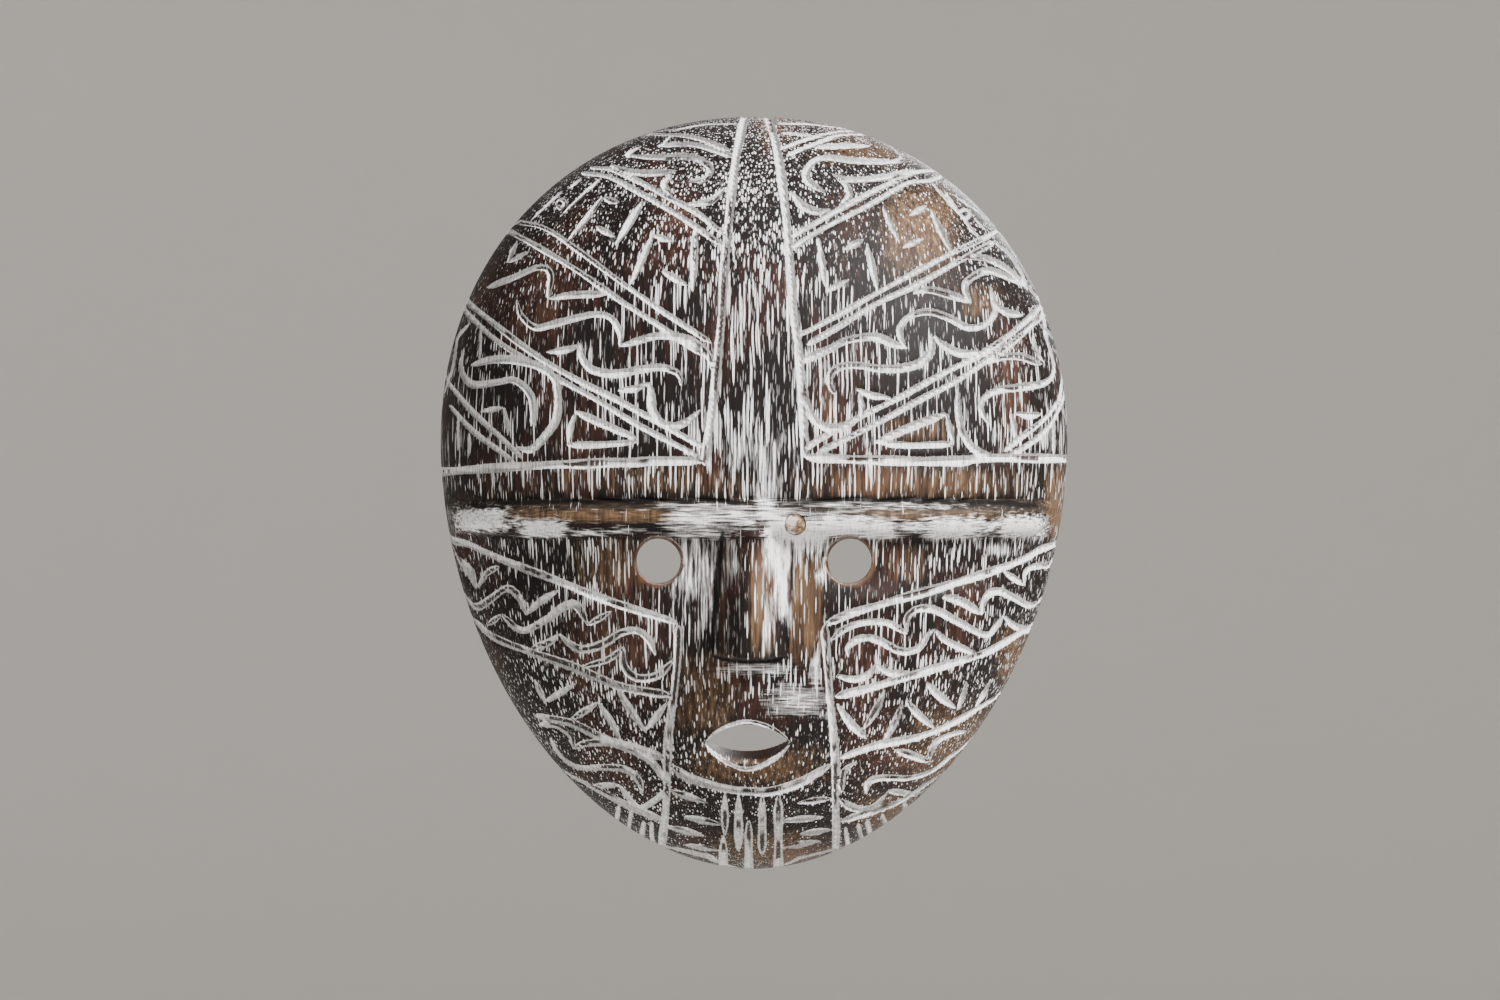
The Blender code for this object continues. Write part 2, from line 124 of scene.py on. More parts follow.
# The gouge and the grain.
GRAIN_SLOPE = 0.2  # the steepest slope of the dome that the grain follows
STEP = 1.2  # between samples along a cut
WOBBLE = 0.12  # how much a cut's width wavers
WOBBLE_LENGTH = (5, 9)
HAND_SPREAD = (0.92, 1.1)  # how much cuts of one kind differ in width
RIM_BAND = 26  # a cut that ends this near the wall is carried on down to it
GROOVE_DEPTH_SHARE = 0.62  # depth over half width
REACH = 4.0  # how far from a cut its effect is measured
SEARCH = 2  # how far past that the box round a cut is searched
SAME_FACE = 6  # a cut acts only this near its own level
SLANT = 0.58  # the most that a cut is widened by where the dome turns away is one over this

# The faces. Each finer round has how near a cut's edge it reaches, and if it takes in nose and brow.
FINER = ((1.1, True), (0.15, False))
NOSE_SPAN = 17
NOSE_TIP_SPAN = 16
NOSE_TIP_BAND = 2.5
DOME_FINENESS = 7
HOLLOW_FINENESS = 6
MOST_SIDES = 8  # of any face but the flat back
SHARP_ANGLE = math.radians(48)


def ring_round(x, z, radius, sides=24):
    """A closed ring of points on the drawing plane."""
    points = []
    for number in range(sides + 1):
        angle = 2 * math.pi * number / sides
        points.append((x + radius * math.cos(angle), z + radius * math.sin(angle)))
    return points


# The carved ornament, on the drawing plane: name, width, length of the tapered ends, and the points
# of each cut.
RULED = 2.1
WAVE = 2.8
ORNAMENT = [
    ("forehead band", 3.0, 4, [
        [(6, 15), (10, -1.6), (13.2, -28), (15.6, -60), (17, -72), (18.3, -80), (20.5, -120)],
        [(-4, 14.6), (-7.5, -3), (-10, -25), (-12.2, -49), (-13, -65), (-16, -95), (-20, -124)],
    ]),
    ("crown scratches", 1.5, 4, [
        [(10, 12.8), (22, 12.6), (35, 11)],
        [(11, 9.2), (24, 8)],
        [(-31, 10.4), (-20, 12.4), (-5.8, 12.9)],
        [(-33.6, 7.9), (-36.2, 4.5)],
        [(41.2, 7.2), (46.8, 4.4)],
    ]),
    ("right double lines", RULED, 3, [
        [(10, 2.4), (22, 6.8), (34.8, 9.6), (46, 9.6)],
        [(13.2, 0), (23.6, 4.4), (34.8, 8), (47.6, 8.4)],
        [(14.8, -32.8), (30, -24), (46, -15.2), (58, -9.6), (66, -6.4), (74, -6), (77, -7.6)],
        [(14.8, -37.2), (28.4, -28.8), (42.8, -21.6), (54, -15.2), (62, -10.8), (70, -10), (76, -8)],
        [(17, -72.5), (30, -65.8), (46, -56.8), (62, -48), (78, -39.6), (94, -32), (98.8, -28.8)],
        [(21, -75.8), (33.3, -68.8), (49.2, -59.2), (66, -51.2), (84.4, -40.8), (96.4, -34.4)],
        [(115, -60), (108.3, -66.7), (100, -73.3), (90, -80), (75, -87.5), (58.3, -96.7),
         (41.7, -105), (25, -114.2), (20.8, -118.3)],
        [(116.7, -62.5), (111.7, -67.5), (103.3, -75), (92.5, -82.5), (80, -90.8), (66.7, -97.5),
         (50, -106.7), (33.3, -115), (25, -119.2)],
        [(100, -118.3), (108.3, -111.7), (116.7, -105), (121.7, -98.3)],
        [(100.8, -120.8), (110.8, -115), (118.3, -108.3), (122.5, -100.8)],
    ]),
    ("right crown scrolls", WAVE, 7, [
        [(24.4, 3.2), (34.8, 4), (46.8, 4)],
        [(56.4, 3.2), (59.6, -1.2), (54, -2.8)],
        [(57, -2.4), (41.2, -2), (30, -0.8), (24.4, -2), (20.8, -6.4), (22, -10.4), (28.4, -14.8)],
        [(31.6, -7.6), (38, -9.6), (50.8, -8.8), (60.4, -6.8), (66, -6)],
        [(32.4, -8), (37.2, -12), (38, -16), (34.8, -19.2)],
        [(14.8, -14.4), (19.6, -20), (26, -22.4), (30.8, -21.6)],
    ]),
    ("right key hooks", 2.9, 9, [
        [(26, -32.8), (28.4, -52)],
        [(29.2, -54.4), (38, -49.6)],
        [(36.4, -37.6), (43.6, -33.6)],
        [(45.2, -35.2), (49.6, -54.4)],
        [(51.6, -20.8), (58, -34.4)],
        [(59.6, -36.8), (67.6, -33.2)],
        [(62.4, -24), (69.2, -20)],
        [(70.8, -21.6), (78.8, -38.4)],
    ]),
    ("right edge scratches", 1.5, 4, [
        [(71.6, -11.2), (83.6, -24.8)],
        [(76.4, -14.4), (90, -33.6)],
        [(82, -23.2), (84.4, -21.4), (86.6, -23.2), (84.4, -25.4), (82, -23.2)],
        [(80, -15.6), (85, -19.4)],
        [(88, -25), (93, -30)],
        [(115.8, -110), (115.8, -118)],
        [(120, -106), (120, -120)],
    ]),
    ("right temple waves", WAVE, 7, [
        [(63.6, -55.2), (70, -53.6), (79.6, -56), (86.8, -58.8)],
        [(86.8, -58.8), (84.4, -53.6), (86, -49.6), (93.2, -46), (100.4, -48), (108.4, -52)],
        [(85.2, -40.8), (93.2, -41.2), (102, -45.6), (109.2, -52)],
        [(96.4, -35.2), (102, -39.2), (107.6, -48), (108.4, -51.2)],
        [(60.8, -77), (58.3, -71.7), (59.2, -67.5), (63.3, -63.8), (70.8, -62.5), (78.3, -65),
         (85.8, -68.8), (92.5, -67.5), (96.7, -62.5), (95.8, -57.5), (94.8, -52.8)],
        [(95.8, -56.7), (97.5, -60), (100.8, -62.5), (107.5, -63.8)],
        [(17.5, -83.3), (22.5, -80.8), (30, -77.5), (37.5, -73.8), (48.3, -72.5), (55, -75),
         (61.3, -77)],
        [(71.7, -71.7), (75.8, -75.8), (83.3, -79.2), (90.8, -78.3)],
        [(70.8, -71.7), (71.3, -77.5), (68.3, -81.7), (63.3, -84.2), (53.3, -85.4), (40, -83.8),
         (33.3, -85), (30.4, -88.3), (30.8, -92.5), (32.5, -95.8)],
        [(40.8, -93.3), (46.7, -95.8), (55, -97.1)],
        [(42.1, -94.2), (43.3, -101.7), (41.7, -105)],
        [(20, -88.3), (20.4, -95), (22.5, -103.3), (27.5, -108.3), (35, -108.8), (41.7, -105.8)],
    ]),
    ("right triangle", 2.8, 6, [
        [(48, -115), (62, -109), (77.5, -103)],
        [(77, -104), (78.4, -109), (80, -115.8)],
        [(50, -115.2), (64, -116), (80, -115.4)],
    ]),
    ("right cross line", 3.2, 6, [
        [(20, -120.8), (50, -121.9), (71, -122.4), (88, -122.6)],
        [(64, -122.6), (84, -121.8), (100, -121), (124, -121.3)],
    ]),
    ("right corner waves", WAVE, 7, [
        [(81.7, -92.5), (81.7, -101.7), (83.3, -110), (87.5, -116.7), (94.2, -120.4), (98.3, -119.6)],
        [(114.2, -67.5), (118.3, -70.8), (121.7, -77.5), (123.3, -88.3), (122.5, -98.3)],
        [(111.7, -70.8), (112.5, -76.7), (115.8, -82.5)],
        [(91.7, -83.3), (98.3, -80.8), (106.7, -80.4), (115, -83.3)],
        [(116.7, -71.7), (119.2, -80), (120, -86.7), (116.7, -90.8), (108.3, -92.5), (98.3, -93.8),
         (92.5, -96.7), (90.8, -101.7), (94.2, -107.5)],
        [(102.5, -102.5), (104.2, -108.3), (104.2, -113.3)],
        [(104.2, -102.9), (110, -104.2), (115, -103.3)],
    ]),
    ("right cheek lines", 3.1, 4, [
        [(28.2, -187.9), (37.8, -183.6), (55.1, -178.4), (72.5, -174), (94.1, -168),
         (111.5, -161.9), (121, -155)],
        [(32.6, -216.5), (46.4, -213.1), (63.8, -207.9), (81.1, -202.7), (94.1, -198.3),
         (106.3, -191.4), (110.6, -188.8)],
        [(34.4, -241.2), (48.7, -236.2), (65.8, -232.7), (80.1, -226.9), (95.8, -217.7)],
        [(35.1, -266.2), (47.3, -262.7), (58.7, -258.4), (68.7, -251.9), (75.1, -247.7)],
    ]),
    ("right cheek waves", WAVE, 6, [
        [(102, -167.1), (109.8, -172.3)],
        [(109.8, -172.3), (111.5, -167.1), (117.6, -164.1)],
        [(75.1, -176.6), (82.9, -178.4), (91.5, -183.6)],
        [(91.5, -183.6), (92.4, -177.5), (97.6, -174.5), (103.7, -176.6), (110.6, -180.1),
         (115, -177.5)],
        [(30.8, -194), (36, -189.6), (43.8, -187), (53.4, -187), (61.2, -191.4)],
        [(61.2, -191.4), (61.2, -185.3), (65.5, -181.4), (72.5, -181.8), (81.1, -186.2),
         (92.4, -191.8), (96.7, -188.8), (99.8, -184)],
        [(99.8, -184), (103.7, -187.9), (108, -189.6)],
        [(37.8, -200.9), (37.8, -196.6), (43, -193.1), (49.9, -194), (58.6, -198.3),
         (65.5, -197.4), (69.9, -191.4), (72.5, -189.6)],
        [(72.5, -189.6), (76.8, -194), (88.1, -199.2)],
        [(32.6, -207.9), (39.5, -209.6), (45.6, -207.9), (49, -203.5)],
        [(49, -203.5), (54.2, -207), (62.9, -207)],
    ]),
    ("right zigzag", 2.9, 8, [
        [(33, -219.1), (38.6, -227), (45.1, -233.4)],
        [(43.7, -229.8), (48.6, -222.4), (52.3, -214.1)],
        [(51.5, -235.5), (56, -227.6), (59.4, -219.1)],
        [(60.8, -217.7), (66, -223.8), (72.3, -229.1)],
        [(68.7, -210.5), (74.4, -216.4), (80.8, -221.2)],
        [(81.5, -221.9), (83.8, -216.2), (85.1, -210.5)],
        [(88.7, -220.5), (92, -215.6), (94.4, -210.5)],
    ]),
    ("right jaw scrolls", WAVE, 6, [
        [(35.1, -255.5), (35.8, -246.9), (40.8, -242.7)],
        [(56.5, -237.7), (64.4, -240.5), (70.1, -242.7)],
        [(70.1, -242.7), (72.3, -235.5), (78.7, -231.9), (85.1, -230.5)],
        [(45.1, -255.5), (45.8, -251.2), (50.8, -249.1), (62.3, -249.1), (71.5, -246.2),
         (78.7, -240.5)],
        [(34.4, -257.7), (40.1, -261.2), (47.3, -261.2), (53, -255.5)],
        [(53.7, -254.1), (62.3, -255.5)],
    ]),
    ("jaw uprights", 3.0, 3, [
        [(28.2, -187.9), (29.5, -203.5), (30.4, -216.5), (31.5, -227.7), (32.6, -241.9),
         (32.6, -255.5), (33, -270.5), (32.6, -279)],
        [(-30.3, -187.9), (-30.7, -201.4), (-31.9, -214), (-34.1, -230.5), (-34.8, -242.9),
         (-35.1, -258), (-36.9, -276)],
    ]),
    ("left double lines", RULED, 3, [
        [(-40.4, 8.7), (-24.4, 7.5), (-9.2, 2)],
        [(-24, 4.6), (-8.4, -0.5)],
        [(-65.6, -4.7), (-56.4, -5.6), (-45.4, -10.6), (-34.5, -16.5), (-23.5, -22.4),
         (-11.7, -31.7)],
        [(-69, -6.8), (-58, -8.5), (-47.1, -14), (-37, -19.9), (-26, -26.6), (-12.6, -35.9)],
        [(-93.4, -26.6), (-83.3, -29.2), (-70.7, -37.6), (-53.8, -50.2), (-37, -62), (-17, -75)],
        [(-96.8, -30.8), (-87.5, -35.9), (-70.7, -46), (-53.8, -57.8), (-42, -65.4), (-20, -80)],
        [(-112.8, -60.3), (-104.3, -67), (-93.4, -75.5), (-82.5, -83), (-69, -90.6),
         (-53.8, -98.2), (-38.7, -106.6), (-20.2, -116.7)],
        [(-114.4, -63.7), (-104.3, -73), (-91.7, -81.4), (-77.4, -89.8), (-62.2, -98.2),
         (-45.4, -108.3), (-21, -121)],
        [(-122, -91.5), (-112.8, -102.4), (-101.8, -112.5), (-92.6, -121)],
        [(-122, -99.9), (-112.8, -110), (-102.7, -117.6), (-95.9, -122.6)],
    ]),
    ("left crown scrolls", WAVE, 7, [
        [(-38.7, 4.1), (-24.4, 4.5), (-9.2, 0.3)],
        [(-45.4, 3.7), (-50.5, 0.7), (-46, -0.4)],
        [(-49, -0.2), (-37, -0.5), (-24.4, -0.5), (-17.6, -4.7), (-19.3, -9), (-26, -10.2)],
        [(-57.2, -3.9), (-48.8, -6.4), (-38.7, -6.8), (-31.1, -6)],
        [(-32.8, -7.3), (-36.1, -11.5), (-32.8, -15.7)],
        [(-26.9, -19.5), (-17.6, -18.2), (-11.7, -13.2)],
    ]),
    ("left key hooks", 2.9, 9, [
        [(-23.5, -28.3), (-24, -42), (-24.8, -55.3)],
        [(-37, -46), (-26.9, -51.9)],
        [(-40.4, -31.7), (-49.6, -51.9)],
        [(-40.2, -31.9), (-32.8, -34.2)],
        [(-44.6, -18.2), (-55.5, -35.9)],
        [(-63.1, -28.3), (-55.5, -32.5)],
        [(-60.6, -16.5), (-74.9, -35)],
        [(-60.4, -16.7), (-53.8, -19)],
    ]),
    ("left edge scratches", 1.6, 4, [
        [(-61.4, -9), (-76.6, -23.3)],
        [(-79.4, -19.1), (-77.4, -17.3), (-75.4, -19.1), (-77.4, -21), (-79.4, -19.1)],
        [(-76.6, -14), (-89.2, -25.8)],
        [(-69, -9), (-74, -13)],
        [(-109.4, -68.7), (-109.8, -82.2)],
        [(-118.5, -104), (-118.5, -118)],
        [(-114, -111), (-114, -120)],
    ]),
    ("left temple waves", WAVE, 7, [
        [(-95, -34.2), (-98.4, -42.6)],
        [(-98.4, -42.6), (-90, -38.4)],
        [(-106.9, -52.7), (-95.9, -48.5), (-86.7, -44.7), (-81.6, -46.8), (-82.5, -57.4)],
        [(-82.5, -57.4), (-72.4, -55.7), (-58, -55.3)],
        [(-95, -57.8), (-93.4, -63.7), (-87.5, -68.7), (-79, -67), (-65.6, -63.7), (-58, -64.5),
         (-53.8, -70.4), (-53.8, -76.3)],
        [(-53.8, -76.3), (-45.4, -73.8), (-37, -72), (-26, -73.8), (-18.5, -79.7), (-16.8, -85.6)],
        [(-83.3, -78.8), (-74.9, -77.6), (-69, -75.5)],
        [(-69, -75.5), (-69, -80.5), (-64.8, -85.6), (-55.5, -87.3), (-45.4, -85.6), (-37, -84.7),
         (-30.3, -87.3), (-29, -92.3)],
        [(-54.7, -94), (-47.1, -93.2), (-42, -90.6)],
        [(-42, -90.6), (-41.2, -94.8), (-40.4, -102.4), (-36.2, -107.5), (-28.6, -107.5),
         (-21, -101.6)],
    ]),
    ("left triangle", 2.8, 6, [
        [(-71.5, -102.4), (-60, -107.6), (-46.3, -113.4)],
        [(-46.3, -114.4), (-60, -115.6), (-74.9, -115.9)],
        [(-74.5, -115), (-73.4, -109), (-71.5, -103)],
    ]),
    ("left corner waves", WAVE, 7, [
        [(-113.6, -67), (-118.7, -73), (-120.3, -83), (-122.9, -91.5)],
        [(-116.1, -77.2), (-117.4, -85.6), (-112.8, -91.5), (-102.7, -90.6), (-96, -89.8),
         (-90, -94.8), (-88.3, -101.6), (-89.2, -108.3)],
        [(-113.6, -83.9), (-102.7, -81.4), (-90, -83), (-81.6, -87.3), (-78.7, -94),
         (-79, -104.9), (-83.3, -111.7), (-89.2, -117.6), (-95, -116.7)],
        [(-109.4, -102.4), (-100.1, -100.7)],
        [(-100.1, -100.7), (-99.3, -104.9), (-98.4, -111.7)],
    ]),
    ("left cross line", 3.0, 6, [
        [(-124, -126.5), (-95.9, -124.5), (-62.2, -123), (-40, -123)],
        [(-74, -124.4), (-46, -122.4), (-19.3, -122.2)],
    ]),
    ("left cheek lines", 3.1, 4, [
        [(-120.3, -154.2), (-108.6, -160.1), (-98.4, -164.3), (-79, -171), (-57.2, -178.6),
         (-30.3, -187)],
        [(-111.9, -186.2), (-104.3, -192.9), (-89.2, -198.8), (-72.4, -204.7), (-53.8, -212.3),
         (-33.6, -216)],
        [(-87.8, -224.3), (-74, -227), (-60.3, -233.2), (-46.5, -237.4), (-35.5, -241.5)],
        [(-72, -249), (-60.3, -255.3), (-47.9, -261.5), (-36.9, -265.6)],
    ]),
    ("left cheek waves", WAVE, 6, [
        [(-117, -164.3), (-112.3, -173.6)],
        [(-112.3, -173.6), (-109.4, -167.7), (-104.3, -165.2)],
        [(-115.7, -176.1), (-111.5, -180.7), (-106, -177.8), (-100.1, -173.6), (-94.2, -177),
         (-91.3, -183.7)],
        [(-91.3, -183.7), (-85.8, -178.6), (-79, -174.4)],
        [(-106.9, -187.9), (-101, -183.7)],
        [(-101, -183.7), (-95.9, -188.7), (-91.7, -190), (-84.1, -186.2), (-75.7, -180.3),
         (-70.7, -180.3), (-66.5, -187.9)],
        [(-66.5, -187.9), (-57.2, -182.4)],
        [(-89.2, -197.1), (-82.5, -195), (-77.8, -191.3)],
        [(-77.8, -191.3), (-74.9, -194.6), (-69, -197.6), (-60.6, -195.5), (-53.8, -191.3),
         (-47.1, -190), (-42, -193.8), (-39.5, -199.7)],
        [(-69, -204.7), (-58, -201.4), (-52.1, -196.3)],
        [(-52.1, -196.3), (-52.1, -203.9), (-47.1, -208.9), (-38.7, -208.1), (-31.9, -201.4)],
    ]),
    ("left zigzag", 2.9, 8, [
        [(-87.8, -209.8), (-83.7, -218.8)],
        [(-83.7, -218.8), (-71.3, -211.2)],
        [(-54.8, -213.2), (-49, -222.6), (-43, -231.2)],
        [(-43, -229.8), (-34.8, -218.8)],
        [(-74, -226.3), (-62.3, -218.8)],
        [(-62.3, -218.8), (-57.6, -226), (-53.4, -233.9)],
    ]),
    ("left jaw scrolls", WAVE, 6, [
        [(-86.4, -227.7), (-78.9, -228.4), (-73.4, -232.5), (-72.3, -237.4)],
        [(-72.3, -237.4), (-67.2, -235.3), (-57.5, -235.3), (-46.5, -239.4), (-39.6, -244.2),
         (-36.2, -250.4)],
        [(-81.6, -233.2), (-77.5, -240.1), (-70.6, -244.9), (-60.3, -244.9), (-52, -245.6),
         (-46.5, -249.8), (-44.8, -255.3)],
        [(-65.1, -252.5), (-54.1, -251.8)],
        [(-54.1, -251.8), (-46.5, -260.8), (-39.6, -258), (-35.5, -253.9)],
    ]),
    ("chin arc", 3.5, 5, [
        [(-33.4, -244.2), (-25.8, -249.1), (-12, -253.2), (0.4, -254.6), (8.7, -254.1),
         (19.4, -250.5), (30.8, -243.7)],
    ]),
    ("chin uprights", 3.3, 9, [
        [(-11.7, -255), (-11.7, -272)],
        [(-12.3, -272), (-12.3, -283.5)],
        [(-6.2, -255.6), (-6.2, -278.7)],
        [(-2.1, -266), (-2.1, -284.5)],
        [(3.3, -256), (3.3, -280)],
        [(9.8, -256), (9.8, -284.5)],
    ]),
    ("chin ticks", 3.3, 8, [
        [(-33.4, -254.2), (-19, -259)],
        [(-27.9, -264.6), (-13.4, -267.7)],
        [(-34.8, -268.7), (-20.3, -272.1)],
        [(-27.9, -276), (-14.5, -278)],
        [(-34, -277), (-19, -280.4)],
        [(17.6, -259.1), (30.8, -257.3)],
        [(11.6, -266.2), (27.6, -264.8)],
        [(18.7, -271.6), (30.8, -269.8)],
        [(11.2, -277), (26.2, -274.4)],
        [(18.3, -281.2), (31.5, -278)],
    ]),
    ("lips", 1.8, 3, [
        [(-19.4, -235.2), (-14, -230.4), (-8, -227.5), (-2.6, -226.5), (3, -227.5), (9, -230.4),
         (14.4, -235.2)],
        [(-19.4, -235.6), (-13, -241.6), (-2.6, -245.6), (8, -241.6), (14.4, -235.6)],
    ]),
    ("rim ticks", 1.8, 3, [
        [(36.5, -268.5), (37.5, -275)],
        [(41.5, -267), (43, -273)],
        [(45, -265.5), (46.5, -271)],
        [(51, -263), (53, -268)],
        [(60, -259.5), (62, -264)],
        [(-54, -260), (-55, -266)],
        [(-49, -261.5), (-50, -268)],
        [(-44, -266), (-45, -273)],
        [(-41, -266), (-41, -271)],
    ]),
    ("eye rims", 2.0, 1, [ring_round(-38.4, -162.3, 9.0), ring_round(38.6, -162.3, 9.0)]),
]

# Painted shade: lines where the wood is painted near black and the lime thinned, as shade down the sides
# of the nose, under it, and along the top of the brow.
PAINTED_SHADE_LINES = [
    ("nose sides", 1.7, 5, [
        [(-12.6, -150), (-14.6, -170), (-16.6, -198)],
        [(12.2, -184), (13.4, -197)],
    ]),
    ("under the nose", 1.1, 4, [
        [(-16.4, -200.2), (-9.5, -201.8), (-1.5, -202.2), (6.5, -201.8), (12.8, -200.6)],
    ]),
    ("brow top", 1.2, 12, [
        [(-116, -140.6), (-80, -138.6), (-20, -137.9), (0, -138.4)],
        [(2, -138.4), (40, -137.6), (84, -138.4), (114, -140.2)],
    ]),
]


def outline(above):
    """The outline's exponent and its half height at levels above or below the belly."""
    upper = above >= 0
    fullness = np.where(upper, CROWN_FULLNESS, CHIN_FULLNESS)
    return fullness, np.where(upper, CROWN_TO_BELLY, BELLY_TO_CHIN)


def dome_value(points):
    """Below 1 inside the dome, 1 on it and above 1 outside."""
    above = points[:, 2] - BELLY_Z
    fullness, reach = outline(above)
    spread = np.abs(points[:, 0] / HALF_WIDTH) ** fullness + np.abs(above / reach) ** fullness
    return spread ** (DOME_FULLNESS / fullness) + np.abs(points[:, 1] / DEPTH) ** DOME_FULLNESS


def dome_normal(points):
    """The direction straight out of the dome at each point."""
    above = points[:, 2] - BELLY_Z
    fullness, reach = outline(above)
    across = points[:, 0] / HALF_WIDTH
    up = above / reach
    out = points[:, 1] / DEPTH
    spread = np.abs(across) ** fullness + np.abs(up) ** fullness
    share = np.maximum(spread, 1e-9) ** (DOME_FULLNESS / fullness - 1)
    normal = np.empty_like(points)
    normal[:, 0] = share * np.sign(across) * np.abs(across) ** (fullness - 1) / HALF_WIDTH
    normal[:, 1] = np.sign(out) * np.abs(out) ** (DOME_FULLNESS - 1) / DEPTH
    normal[:, 2] = share * np.sign(up) * np.abs(up) ** (fullness - 1) / reach
    return normal / np.linalg.norm(normal, axis=1)[:, None]


def dome_from_sphere(unit, half_width, crown, chin, depth):
    """Carries points of the unit half sphere that faces -Y onto a half egg."""
    across, up = unit[:, 0], unit[:, 2]
    spread = np.maximum(np.hypot(across, up), 1e-9)
    fullness, _ = outline(up)
    radius = spread ** (2 / DOME_FULLNESS)
    points = np.empty_like(unit)
    turn_x, turn_z = across / spread, up / spread
    points[:, 0] = half_width * np.sign(turn_x) * np.abs(turn_x) ** (2 / fullness) * radius
    points[:, 1] = -depth * np.maximum(-unit[:, 1], 0) ** (2 / DOME_FULLNESS)
    reach = np.where(up >= 0, crown, chin)
    points[:, 2] = BELLY_Z + reach * np.sign(turn_z) * np.abs(turn_z) ** (2 / fullness) * radius
    return points


def smooth(value, low, high):
    """Rises smoothly from 0 at low to 1 at high."""
    share = np.clip((value - low) / (high - low), 0, 1)
    return share * share * (3 - 2 * share)


def thrown_onto_dome(flat):
    """Where the rays from the viewing point through points of the drawing plane meet the dome."""
    aims = np.column_stack([flat[:, 0], np.zeros(len(flat)), flat[:, 1]])
    rays = aims - CAMERA
    shares = np.linspace(1 - (DEPTH + 2) / -CAMERA[1], 1.0, 120)
    values = np.array([dome_value(CAMERA + rays * share) for share in shares])
    inside = values < 1
    hits = inside.any(axis=0)
    first = np.where(hits, inside.argmax(axis=0), values.argmin(axis=0))
    late = shares[first]
    early = shares[np.maximum(first - 1, 0)]
    for _ in range(20):
        middle = (early + late) / 2
        within = dome_value(CAMERA + rays * middle[:, None]) < 1
        late = np.where(hits & within, middle, late)
        early = np.where(hits & ~within, middle, early)
    points = CAMERA + rays * late[:, None]
    missed = ~hits
    if missed.any():
        points[missed] = moved_onto_dome(points[missed], 12, 0.4)
    return points


def moved_onto_dome(points, rounds, share, most=math.inf):
    """Moves points in or out, each at its own distance from the wall, until they are on the dome."""
    centre = np.array((0.0, 0.0, BELLY_Z))
    moved = points.copy()
    for _ in range(rounds):
        miss = np.clip(dome_value(moved) - 1, -most, most)
        flat = moved - centre
        flat[:, 1] = 0
        moved -= flat * miss[:, None] * share
    return moved


def curve_through(points):
    """A smooth curve through a few points, sampled at the gouge's step."""
    points = np.array(points, float)
    if len(points) == 2:
        start, end = points
        count = max(2, int(np.linalg.norm(end - start) / STEP))
        return start + (end - start) * np.linspace(0, 1, count + 1)[:, None]
    padded = np.vstack([2 * points[0] - points[1], points, 2 * points[-1] - points[-2]])
    samples = []
    for before, start, end, after in zip(padded, padded[1:], padded[2:], padded[3:]):
        count = max(1, int(np.linalg.norm(end - start) / STEP))
        share = (np.arange(count) / count)[:, None]
        samples.append(
            0.5 * (2 * start + (end - before) * share
                   + (2 * before - 5 * start + 4 * end - after) * share**2
                   + (3 * start - before - 3 * end + after) * share**3)
        )
    return np.vstack([*samples, points[-1:]])


def run_to_rim(points):
    """Carries a cut that ends at the outline on round the side, down to the back."""
    for flip in (1, -1):
        line = points[::flip]
        end = line[-1]
        if end[1] > -RIM_BAND and len(line) > 2:
            heading = end - line[-3]
            heading = heading / max(np.linalg.norm(heading), 1e-6)
            steps = max(1, int(-end[1] / STEP))
            flat = end - np.array((0.0, 0.0, BELLY_Z))
            flat[1] = 0
            drift = heading * np.array((1.0, 0.0, 1.0))
            drift = drift - flat * (drift @ flat) / (flat @ flat)
            added = []
            for number in range(1, steps + 1):
                level = end[1] * (1 - number / steps)
                place = np.array((end[0], level, end[2])) + drift * number * STEP
                added.append(place)
            if added:
                line = np.vstack([line, moved_onto_dome(np.array(added), 30, 0.35, 0.2)])
        points = line[::flip]
    return points


def cuts_for(drawn):
    """Every cut as (points on the dome, their normals, half widths along it)."""
    cuts = []
    rng = np.random.default_rng(7)
    for _, width, taper, runs in drawn:
        for run in runs:
            points = run_to_rim(thrown_onto_dome(curve_through(run)))
            steps = np.linalg.norm(np.diff(points, axis=0), axis=1)
            along = np.concatenate([[0], np.cumsum(steps)])
            length = along[-1]
            taper_here = min(taper, 0.5 * length)
            from_end = np.minimum(along, length - along)
            swell = np.sqrt(np.clip(from_end / taper_here, 0.02, 1))
            wobble = 1 + WOBBLE * np.sin(along / rng.uniform(*WOBBLE_LENGTH) + rng.uniform(0, 6))
            half = width / 2 * swell * wobble * rng.uniform(*HAND_SPREAD)
            normals = dome_normal(points)
            heading = np.gradient(points, axis=0)
            heading /= np.linalg.norm(heading, axis=1)[:, None]
            sideways = np.cross(normals, heading)
            half = half / np.clip(np.hypot(sideways[:, 0], sideways[:, 2]), SLANT, 1)
            cuts.append((points, normals, half))
    return cuts


